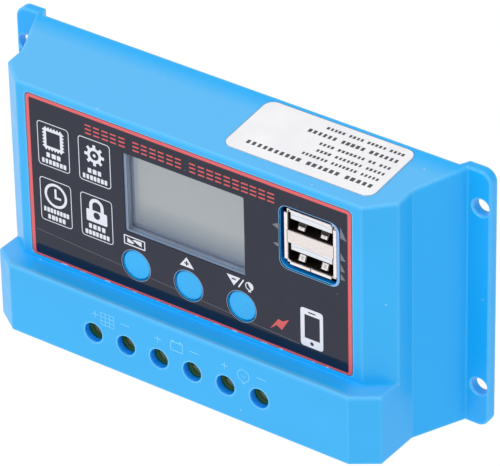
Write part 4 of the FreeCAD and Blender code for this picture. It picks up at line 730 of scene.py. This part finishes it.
def film_title():
    """Heading across the top: three groups of plain triple bars."""
    pitch, height, thin, gap = 2.40, 2.5, 0.38, 1.6
    marks = []
    x = film_low.x + 17.25
    foot = film_high.z - 5.35
    for letters in (5, 6, 10):
        for i in range(letters):
            left = x + i * pitch
            width = pitch * random.uniform(0.70, 0.80)
            for k in range(3):
                low = foot + (height - thin) * k / 2
                marks.append([rect(left, left + width, low, low + thin)])
        x += letters * pitch + gap
    print_on_film("film_title", marks, red_title)


ICON_COLUMNS = (film_low.x + 7.75, film_low.x + 19.65)
ICON_ROWS = (film_high.z - 12.4, film_high.z - 27.7)
ICON_HALF_WIDTH = 4.6
ICON_HALF_HEIGHT = 5.95


def chip_icon():
    """Square ring with teeth along its outer edge."""
    half, depth, teeth = 2.6, 0.6, 6
    step = half * 2 / teeth
    edge = []
    for i in range(teeth):
        start = -half + step * i
        edge += [(start, 0.0), (start + step * 0.5, depth)]
    outline = []
    for turn in range(4):
        angle = math.radians(-90 * turn)
        for along, out in edge:
            x, z = along, half + out
            outline.append(
                (x * math.cos(angle) - z * math.sin(angle), x * math.sin(angle) + z * math.cos(angle))
            )
    return [[outline, rect(-2.0, 2.0, -2.0, 2.0)]]


def gear_icon():
    """Eight-toothed wheel with a ring and a centre dot."""
    teeth, root, tip = 8, 2.05, 2.85
    outline = []
    for i in range(teeth):
        turn = 360 / teeth * i
        for offset, radius in ((-11.5, root), (-8, tip), (8, tip), (11.5, root)):
            angle = math.radians(turn + offset)
            outline.append((radius * math.cos(angle), radius * math.sin(angle)))
    return [[outline, circle(0, 0, 1.25)], [circle(0, 0, 0.42)]]


def clock_icon():
    """Ring with two hands."""
    hands = [(-0.35, 1.9), (-0.35, -0.8), (1.5, -0.8), (1.5, -0.2), (0.25, -0.2), (0.25, 1.9)]
    return [[circle(0, 0, 3.3), circle(0, 0, 2.6)], [hands]]


def padlock_icon():
    """Closed padlock with a round keyhole."""
    foot = 0.12
    shape = [(2.1, foot)] + arc(0, 1.35, 2.1, 0, 180, 14) + [(-2.1, foot), (-1.2, foot)]
    shape += arc(0, 1.35, 1.2, 180, 0, 14) + [(1.2, foot)]
    body = round_rect(-3.0, 3.0, -3.15, 0.1, 0.35)
    return [[shape], [body, circle(0, -1.2, 0.95)]]


def film_icons():
    """Four framed icons, each over a caption of two lines (block count and pitch)."""
    corner, thin, art_lift = 0.95, 0.20, 1.75
    first_line, line_pitch, text_height, text_shift = 3.35, 1.85, 1.25, 0.1
    icons = [[chip_icon(), gear_icon()], [clock_icon(), padlock_icon()]]
    captions = [
        [((3, 1.5), (7, 1.04)), ((3, 1.45), (7, 1.04))],
        [((8, 0.94), (5, 1.05)), ((4, 1.25), (7, 1.03))],
    ]
    art, text = [], []
    for row, z in enumerate(ICON_ROWS):
        for column, x in enumerate(ICON_COLUMNS):
            left, right = x - ICON_HALF_WIDTH, x + ICON_HALF_WIDTH
            low, high = z - ICON_HALF_HEIGHT, z + ICON_HALF_HEIGHT
            art.append(frame_loops(left, right, low, high, corner, thin))
            for shape in icons[row][column]:
                art.append(shifted(shape, x, z + art_lift))
            for line, (letters, pitch) in enumerate(captions[row][column]):
                length = letters * pitch
                foot = z - first_line - line * line_pitch
                text += word(x - length / 2 + text_shift, foot, letters, pitch, text_height)
    print_on_film("film_icons", art, white_ink)
    print_on_film("film_captions", text, white_ink)


def battery_sign():
    """Framed battery split in two, above the menu key."""
    return [
        frame_loops(-3.3, 2.85, 5.0, 7.6, 0.2, 0.3),
        [[(-2.3, 7.0), (-2.3, 5.7), (-0.6, 5.7), (-0.4, 6.1)]],
        [[(-0.9, 6.7), (-0.2, 7.0), (1.8, 7.0), (1.8, 5.7)]],
    ]


def up_sign():
    """Upright triangle with a plus in it."""
    sign = plus(0.65, 0.625, 0.2, 0.175)
    return [[[(-0.33, 7.75), (-2.3, 5.1), (1.7, 5.1)]] + shifted([sign], -0.35, 6.075)]


def down_sign():
    """Hanging triangle with a minus in it, a slash, and a half-filled lamp."""
    lamp_x, lamp_z = 2.3, 6.35
    return [
        [[(-4.0, 7.65), (-0.2, 7.65), (-2.05, 5.05)], rect(-2.65, -1.45, 6.6, 7.0)],
        [bar_between(0.75, 7.55, -0.75, 5.05, 0.36)],
        [circle(lamp_x, lamp_z, 1.15), circle(lamp_x, lamp_z, 0.9)],
        [arc(lamp_x, lamp_z, 0.88, -60, 120, 14)],
        [rect(1.95, 2.75, 4.8, 5.15)],
    ]


def phone_sign():
    """Telephone with a screen, a round button and a slot."""
    return [
        round_rect(-3.1, 3.1, -5.175, 5.175, 0.8),
        rect(-2.0, 2.2, -2.925, 3.475),
        circle(0.0, -4.075, 0.5, 16),
        rect(-0.95, 1.05, 4.075, 4.425),
    ]


def film_symbols():
    """A sign above each key, measured from the key's middle, and the telephone."""
    shapes = []
    for key, sign in zip(KEYS, (battery_sign(), up_sign(), down_sign())):
        shapes += [shifted(loops, *middle(f"{key}_button")) for loops in sign]
    shapes.append(shifted(phone_sign(), film_high.x - 11.1, film_low.z + 8.775))
    print_on_film("film_symbols", shapes, white_ink)


def film_bolt():
    """Zigzag flash left of the telephone."""
    outline = [(-2.7, -2.15), (-0.3, 1.25), (0.9, 1.0), (2.65, 2.1), (0.65, -1.4), (-0.85, -0.6)]
    loops = shifted([outline], film_high.x - 20.05, film_low.z + 6.8)
    print_on_film("film_bolt", [loops], red_title)


def film_bursts():
    """Faint pointed marks either side of the socket, measured from its middle."""
    spikes = [
        [(-10.2, 2.0), (-8.1, 3.0), (-8.1, 1.1)],
        [(-10.0, -2.9), (-8.8, -2.4), (-8.1, -3.4), (-9.0, -3.4)],
        [(10.1, 4.6), (8.4, 7.9), (8.4, 5.0)],
        [(9.8, -0.8), (8.4, 1.1), (8.4, -0.9)],
        [(9.6, -3.8), (8.4, -1.7), (8.4, -3.8)],
        [(9.7, -5.9), (8.4, -4.3), (8.4, -6.1)],
    ]
    shapes = [shifted([spike], *middle("usb_shell")) for spike in spikes]
    print_on_film("film_bursts", shapes, grey_ink)


# Radius of the film's hole round a key, and how far the middle of the socket's opening lies left
# of and below the middle of its shell.
KEY_HOLE = 4.08
OPENING_SHIFT = 0.2
OPENING_DROP = 0.25


def film_cut_edges():
    """Pale rims where the film is die-cut round the buttons and the socket; the socket's pale blue rim,
    wider on the right, is a painted highlight.
    """
    rim = 0.13
    shapes = []
    for key in KEYS:
        x, z = middle(f"{key}_button")
        shapes.append([circle(x, z, KEY_HOLE + rim, 48), circle(x, z, KEY_HOLE, 48)])
    pale = ink("film_cut_edge", srgb(150, 160, 182), 0.25)
    print_on_film("film_cut_edges", shapes, pale)
    # The socket's rim is a painted highlight, widest on the right.
    wide, tall, right_highlight = 8.05, 8.35, 0.45
    outer = round_rect(-wide - rim, wide + rim * 2, -tall - rim, tall + rim, 2.3)
    inner = round_rect(-wide, wide - right_highlight, -tall, tall, 2.2)
    x, z = middle("usb_shell")
    loops = shifted([outer, inner], x - OPENING_SHIFT, z - OPENING_DROP)
    rim_highlight_blue = plastic("socket_rim_highlight", srgb(118, 172, 222), 0.3, 0.3, 0.004, 0.08)
    print_on_film("socket_rim_highlight", [loops], rim_highlight_blue)


def film_crease_reflection():
    """Hairline crease across the lower part of the film, broken by the buttons; its grey line is a
    painted reflection.
    """
    left, right = film_low.x + 1.45, film_high.x - 14.45
    start, drop = film_low.z + 7.3, 3.8
    gap, line = 0.2, 0.07

    def height(x):
        return start - drop * (x - left) / (right - left)

    breaks = [left, right]
    for key in KEYS:
        x, z = middle(f"{key}_button")
        half = math.sqrt((KEY_HOLE + gap) ** 2 - (height(x) - z) ** 2)
        breaks += [x - half, x + half]
    breaks.sort()
    shapes = []
    for x0, x1 in zip(breaks[::2], breaks[1::2]):
        shapes.append([bar_between(x0, height(x0), x1, height(x1), line)])
    # Painted reflection along the crease.
    painted_line = ink("film_crease_reflection", srgb(126, 128, 140), 0.2)
    print_on_film("film_crease_reflection", shapes, painted_line)


def film_flash():
    """Slivers of moulding flash and glue along the film's lower edge."""
    margin = 3.0
    low = film_low.z - 0.10
    shapes = []
    x = film_low.x + margin
    while x < film_high.x - margin:
        x += random.uniform(2.0, 9.5)
        length = random.uniform(0.5, 2.6)
        thick = random.uniform(0.10, 0.26)
        peak, shoulder = (x + length * 0.7, low + thick), (x + 0.1, low + thick * 0.6)
        shapes.append([[(x, low), (x + length, low), peak, shoulder]])
    flash = plastic("flash_pale", srgb(176, 222, 252), 0.3, 0.2, 0.004, 0.1)
    flat_piece("film_flash", shapes, film_front, PRINT * 3, flash)


# ---------------------------------------------------------------- display surround


def display_bezel():
    """Printed frame on the display glass, stepped inwards from the window."""
    thick = 0.06
    low, _ = box_mm("display_glass")
    outer = rect(*inset("display_glass", 0.1))
    inner = round_rect(*inset("display_glass", 2.8, 2.3, 2.95, 2.3), 0.3)
    tone = ink("bezel_ink", srgb(138, 150, 174), 0.35)
    place = facing_front(low.y, thick)
    flat_piece("display_bezel", [[outer, inner]], place, thick, tone)


def window_liner():
    """Frosted grey band that lines the walls of the window behind the clear pane."""
    corner, thick, front_gap, back_gap = 0.5, 0.14, 0.01, 0.03
    pane_back = box_mm("display_window")[1].y
    glass_front = box_mm("display_glass")[0].y
    depth = glass_front - pane_back - front_gap - back_gap
    loops = frame_loops(*inset("display_window", 1.16), corner, thick)
    frost = plastic("window_frost", srgb(126, 142, 166), 0.4, 0.3, 0.006, 0.12, 0.35)
    place = facing_front(pane_back + depth + front_gap, depth)
    flat_piece("window_liner", [loops], place, depth, frost)


def window_rim():
    """Frosted rim printed on the pane's face, wider on the left and along the foot."""
    low, _ = box_mm("display_window")
    outer = rect(*inset("display_window", 0.9))
    inner = round_rect(*inset("display_window", 1.9, 1.25, 1.75, 1.25), 0.3)
    frost = plastic("rim_frost", srgb(122, 140, 166), 0.35, 0.3, 0.004, 0.10, 0.25)
    place = facing_front(low.y + PRINT_SUNK, PRINT)
    flat_piece("window_rim", [[outer, inner]], place, PRINT, frost)


# ---------------------------------------------------------------- raised marks

# Height of the marks, how much of it is sunk into the casing, and the screwdriver holes' radius.
RAISED = 0.06
SUNK = 0.01
HOLE_RADIUS = 2.55


def hole_rims():
    """Low lips moulded round the screwdriver holes; their paler blue is a painted highlight."""
    low, _ = box_mm("front_housing")
    rise, gap, lip = 0.05, 0.04, 0.32
    rims = []
    for number in TERMINALS:
        x, z = middle(f"terminal_screw_{number}")
        rims.append([circle(x, z, HOLE_RADIUS + lip, 40), circle(x, z, HOLE_RADIUS + gap, 40)])
    # Paler than the casing: a painted highlight on the lips.
    rim_highlight_blue = plastic("rim_highlight_blue", srgb(92, 192, 252), 0.3, 0.25, 0.003, 0.05)
    place = facing_front(low.y + SUNK, rise)
    flat_piece("hole_rims", rims, place, rise, rim_highlight_blue, soft=0.02)


def panel_mark():
    """Solar panel: a grid of three by three cells."""
    half_width, half_height, line, cells = 2.01, 1.76, 0.22, 3
    wide = (half_width * 2 - line) / cells
    tall = (half_height * 2 - line) / cells
    loops = [rect(-half_width, half_width, -half_height, half_height)]
    for column in range(cells):
        for row in range(cells):
            left = line - half_width + wide * column
            foot = line - half_height + tall * row
            loops.append(rect(left, left + wide - line, foot, foot + tall - line))
    return [loops]


def battery_mark():
    """Battery case with its two poles on top, drawn as one outline."""
    case, top, pole = 1.8, 1.3, 1.7
    outline = [(-case, -top), (case, -top), (case, top)]
    for near, far in ((1.4, 0.7), (-0.7, -1.4)):
        outline += [(near, top), (near, pole), (far, pole), (far, top)]
    outline.append((-case, top))
    return [[outline, rect(-1.55, 1.55, -1.05, 1.05)]]


def lamp_mark():
    """Lamp: a ring with a bent filament, over a short base."""
    bend, drop, line = 0.7, 0.9, 0.25
    filament = [(-bend, 0.4), (0.0, 0.4 - drop), (bend, 0.4)]
    filament += [(x, z - line) for x, z in reversed(filament)]
    return [[circle(0, 0, 1.75), circle(0, 0, 1.5)], [filament], [rect(-0.6, 0.6, -2.2, -1.9)]]


def terminal_marks():
    """Polarity signs above the screw holes, and a sign between each pair of them; their paler blue is a
    painted highlight on the raised marks.
    """
    low, _ = box_mm("front_housing")
    thin = 0.26
    plus_mark = [[plus(1.0, 1.0, thin / 2, thin / 2)]]
    minus_mark = [[bar_between(-1.3, 0.0, 1.3, 0.0, thin)]]
    over_screws = [
        (plus_mark, (1, 3, 5), (0.75, -0.15, -0.15), 5.5),
        (minus_mark, (2, 4, 6), (-0.05, 0.65, 0.65), 5.6),
    ]
    between_pairs = [
        (panel_mark(), 1, -0.5, 4.95),
        (battery_mark(), 3, 0.5, 5.2),
        (lamp_mark(), 5, 0.4, 4.6),
    ]
    shapes = []
    for mark, numbers, aside, up in over_screws:
        for number, offset in zip(numbers, aside):
            x, z = middle(f"terminal_screw_{number}")
            shapes += [shifted(loops, x + offset, z + up) for loops in mark]
    for mark, number, offset, up in between_pairs:
        x, z = middle(f"terminal_screw_{number}")
        x = (x + middle(f"terminal_screw_{number + 1}")[0]) / 2
        shapes += [shifted(loops, x + offset, z + up) for loops in mark]
    place = facing_front(low.y + SUNK, RAISED)
    # Paler than the casing: a painted highlight on the raised marks.
    mark_highlight_blue = plastic("mark_highlight_blue", srgb(112, 200, 255), 0.3, 0.25, 0.003, 0.05)
    flat_piece("terminal_marks", shapes, place, RAISED, mark_highlight_blue, soft=0.03)


# ---------------------------------------------------------------- rating label

LABEL_THICK = 0.12


def label_run():
    """The sticker's run backwards and its rise, from its front edge to its rear one."""
    low, high = box_mm("rating_label")
    return high.y - low.y, high.z - low.z - LABEL_THICK


def on_label(lift):
    """Plane of the sloping sticker: x from its middle, z up the slope from its front edge."""
    low, high = box_mm("rating_label")
    run, rise = label_run()
    front_edge = Vector(((low.x + high.x) / 2, low.y, low.z + LABEL_THICK + lift))
    shift = Matrix.Translation(front_edge * MM)
    return shift @ Matrix.Rotation(math.atan2(rise, run), 4, "X") @ Matrix.Scale(MM, 4)


def label_print():
    """Rows of plain blocks on the sloping sticker, set so that they read from behind."""
    low, high = box_mm("rating_label")
    thick, lift, margin, word_gap = 0.02, 0.015, 2.2, 0.8
    # Each row: place up the slope, block height, block pitch, blocks in each word.
    rows = [
        (3.1, 1.25, 1.53, (5, 6, 10)),
        (5.9, 0.90, 1.02, (5, 7, 7)),
        (8.2, 0.90, 1.06, (5, 7, 4)),
        (10.6, 0.90, 1.06, (3, 2, 7, 4)),
        (13.4, 1.20, 1.32, (6, 5, 6)),
        (16.2, 0.90, 1.04, (4, 5, 4, 5)),
    ]
    right = (high.x - low.x) / 2 - margin
    marks = []
    for up_slope, height, pitch, words in rows:
        x = right
        for letters in words:
            for _ in range(letters):
                width = pitch * random.uniform(0.50, 0.68)
                marks.append([rect(x - width, x, up_slope, up_slope + height)])
                x -= pitch
            x -= pitch * word_gap
    black_ink = ink("ink_black", srgb(72, 72, 78), 0.4, 0.2)
    flat_piece("label_print", marks, on_label(lift), thick, black_ink)


def label_edge():
    """Grey cut edge of the sticker, a hairline all round."""
    low, high = box_mm("rating_label")
    overlap, corner, line, thick, lift = 0.02, 2.6, 0.16, 0.03, 0.012
    half = (high.x - low.x) / 2 + overlap
    length = math.hypot(*label_run())
    loops = frame_loops(-half, half, -overlap, length + overlap, corner, line)
    grey = ink("label_cut", srgb(120, 146, 176), 0.5)
    flat_piece("label_edge", [loops], on_label(lift), thick, grey)


# ---------------------------------------------------------------- stage

FLOOR_REACH = 3.0
FLOOR_GAP = 0.0005
LIGHT_PLACE = (-0.2, -0.45, 1.1)
LIGHT_SIZE = 0.45
LIGHT_POWER = 2.6
CAMERA_PLACE = (0.52783, -0.71988, 0.57723)
CAMERA_TURN = (56.780, 1.046, 35.645)
CAMERA_LENS = 329.3


def pale_floor(height):
    """Evenly lit floor just below the object."""
    mesh = bpy.data.meshes.new("floor")
    sides = ((-1, -1), (1, -1), (1, 1), (-1, 1))
    corners = [(x * FLOOR_REACH, y * FLOOR_REACH, 0) for x, y in sides]
    mesh.from_pydata(corners, [], [(0, 1, 2, 3)])
    floor = bpy.data.objects.new("floor", mesh)
    floor.location = (0, 0, height)
    bpy.context.scene.collection.objects.link(floor)
    g = Graph("floor_white")
    tone = g.mix(g.span(g.noise(400.0), 0.3, 0.7), (0.05, 0.05, 0.05, 1), (0.07, 0.07, 0.07, 1))
    glow = {"Emission_Color": (1, 1, 1, 1), "Emission_Strength": 0.97}
    mesh.materials.append(g.surface(tone, 0.9, Specular_IOR_Level=0.0, **glow))


def white_room():
    """White surroundings: brighter in front of the object than behind it, plain to the camera."""
    world = bpy.data.worlds.new("white_room")
    world.use_nodes = True
    tree = world.node_tree
    sky = tree.nodes["Background"]
    sky.inputs["Color"].default_value = (1, 1, 1, 1)
    direction = tree.nodes.new("ShaderNodeTexCoord")
    parts = tree.nodes.new("ShaderNodeSeparateXYZ")
    tree.links.new(direction.outputs["Generated"], parts.inputs["Vector"])
    fade = tree.nodes.new("ShaderNodeMapRange")
    for socket, value in (("From Min", -1.0), ("From Max", 1.0), ("To Min", 1.16), ("To Max", 0.66)):
        fade.inputs[socket].default_value = value
    tree.links.new(parts.outputs["Y"], fade.inputs["Value"])
    seen = tree.nodes.new("ShaderNodeLightPath")
    backdrop = tree.nodes.new("ShaderNodeMix")
    backdrop.inputs["B"].default_value = 1.0
    tree.links.new(seen.outputs["Is Camera Ray"], backdrop.inputs["Factor"])
    tree.links.new(fade.outputs["Result"], backdrop.inputs["A"])
    tree.links.new(backdrop.outputs["Result"], sky.inputs["Strength"])
    bpy.context.scene.world = world


def key_light(target):
    """Square soft light from above and in front."""
    data = bpy.data.lights.new("key", "AREA")
    data.size = LIGHT_SIZE
    data.energy = LIGHT_POWER
    lamp = bpy.data.objects.new("key", data)
    lamp.location = LIGHT_PLACE
    lamp.rotation_euler = (target - lamp.location).to_track_quat("-Z", "Y").to_euler()
    bpy.context.scene.collection.objects.link(lamp)


def place_camera():
    """Camera at the photograph's viewing angle."""
    data = bpy.data.cameras.new("camera")
    data.lens = CAMERA_LENS
    data.sensor_width = 36.0
    data.clip_start, data.clip_end = 0.05, 20.0
    camera = bpy.data.objects.new("camera", data)
    camera.location = CAMERA_PLACE
    camera.rotation_euler = [math.radians(angle) for angle in CAMERA_TURN]
    bpy.context.scene.collection.objects.link(camera)
    bpy.context.scene.camera = camera


def build_stage():
    """Pale floor, white surroundings, one soft light and the camera."""
    low, high = cad_box
    pale_floor(low.z - FLOOR_GAP)
    white_room()
    key_light((low + high) / 2)
    place_camera()
    bpy.context.scene.view_settings.view_transform = "Standard"


# ---------------------------------------------------------------- build

dress_cad_nodes()
film_border()
film_title()
film_icons()
film_symbols()
film_bolt()
film_bursts()
film_cut_edges()
film_crease_reflection()
film_flash()
display_bezel()
window_liner()
window_rim()
terminal_marks()
hole_rims()
label_print()
label_edge()
build_stage()

bpy.context.view_layer.update()
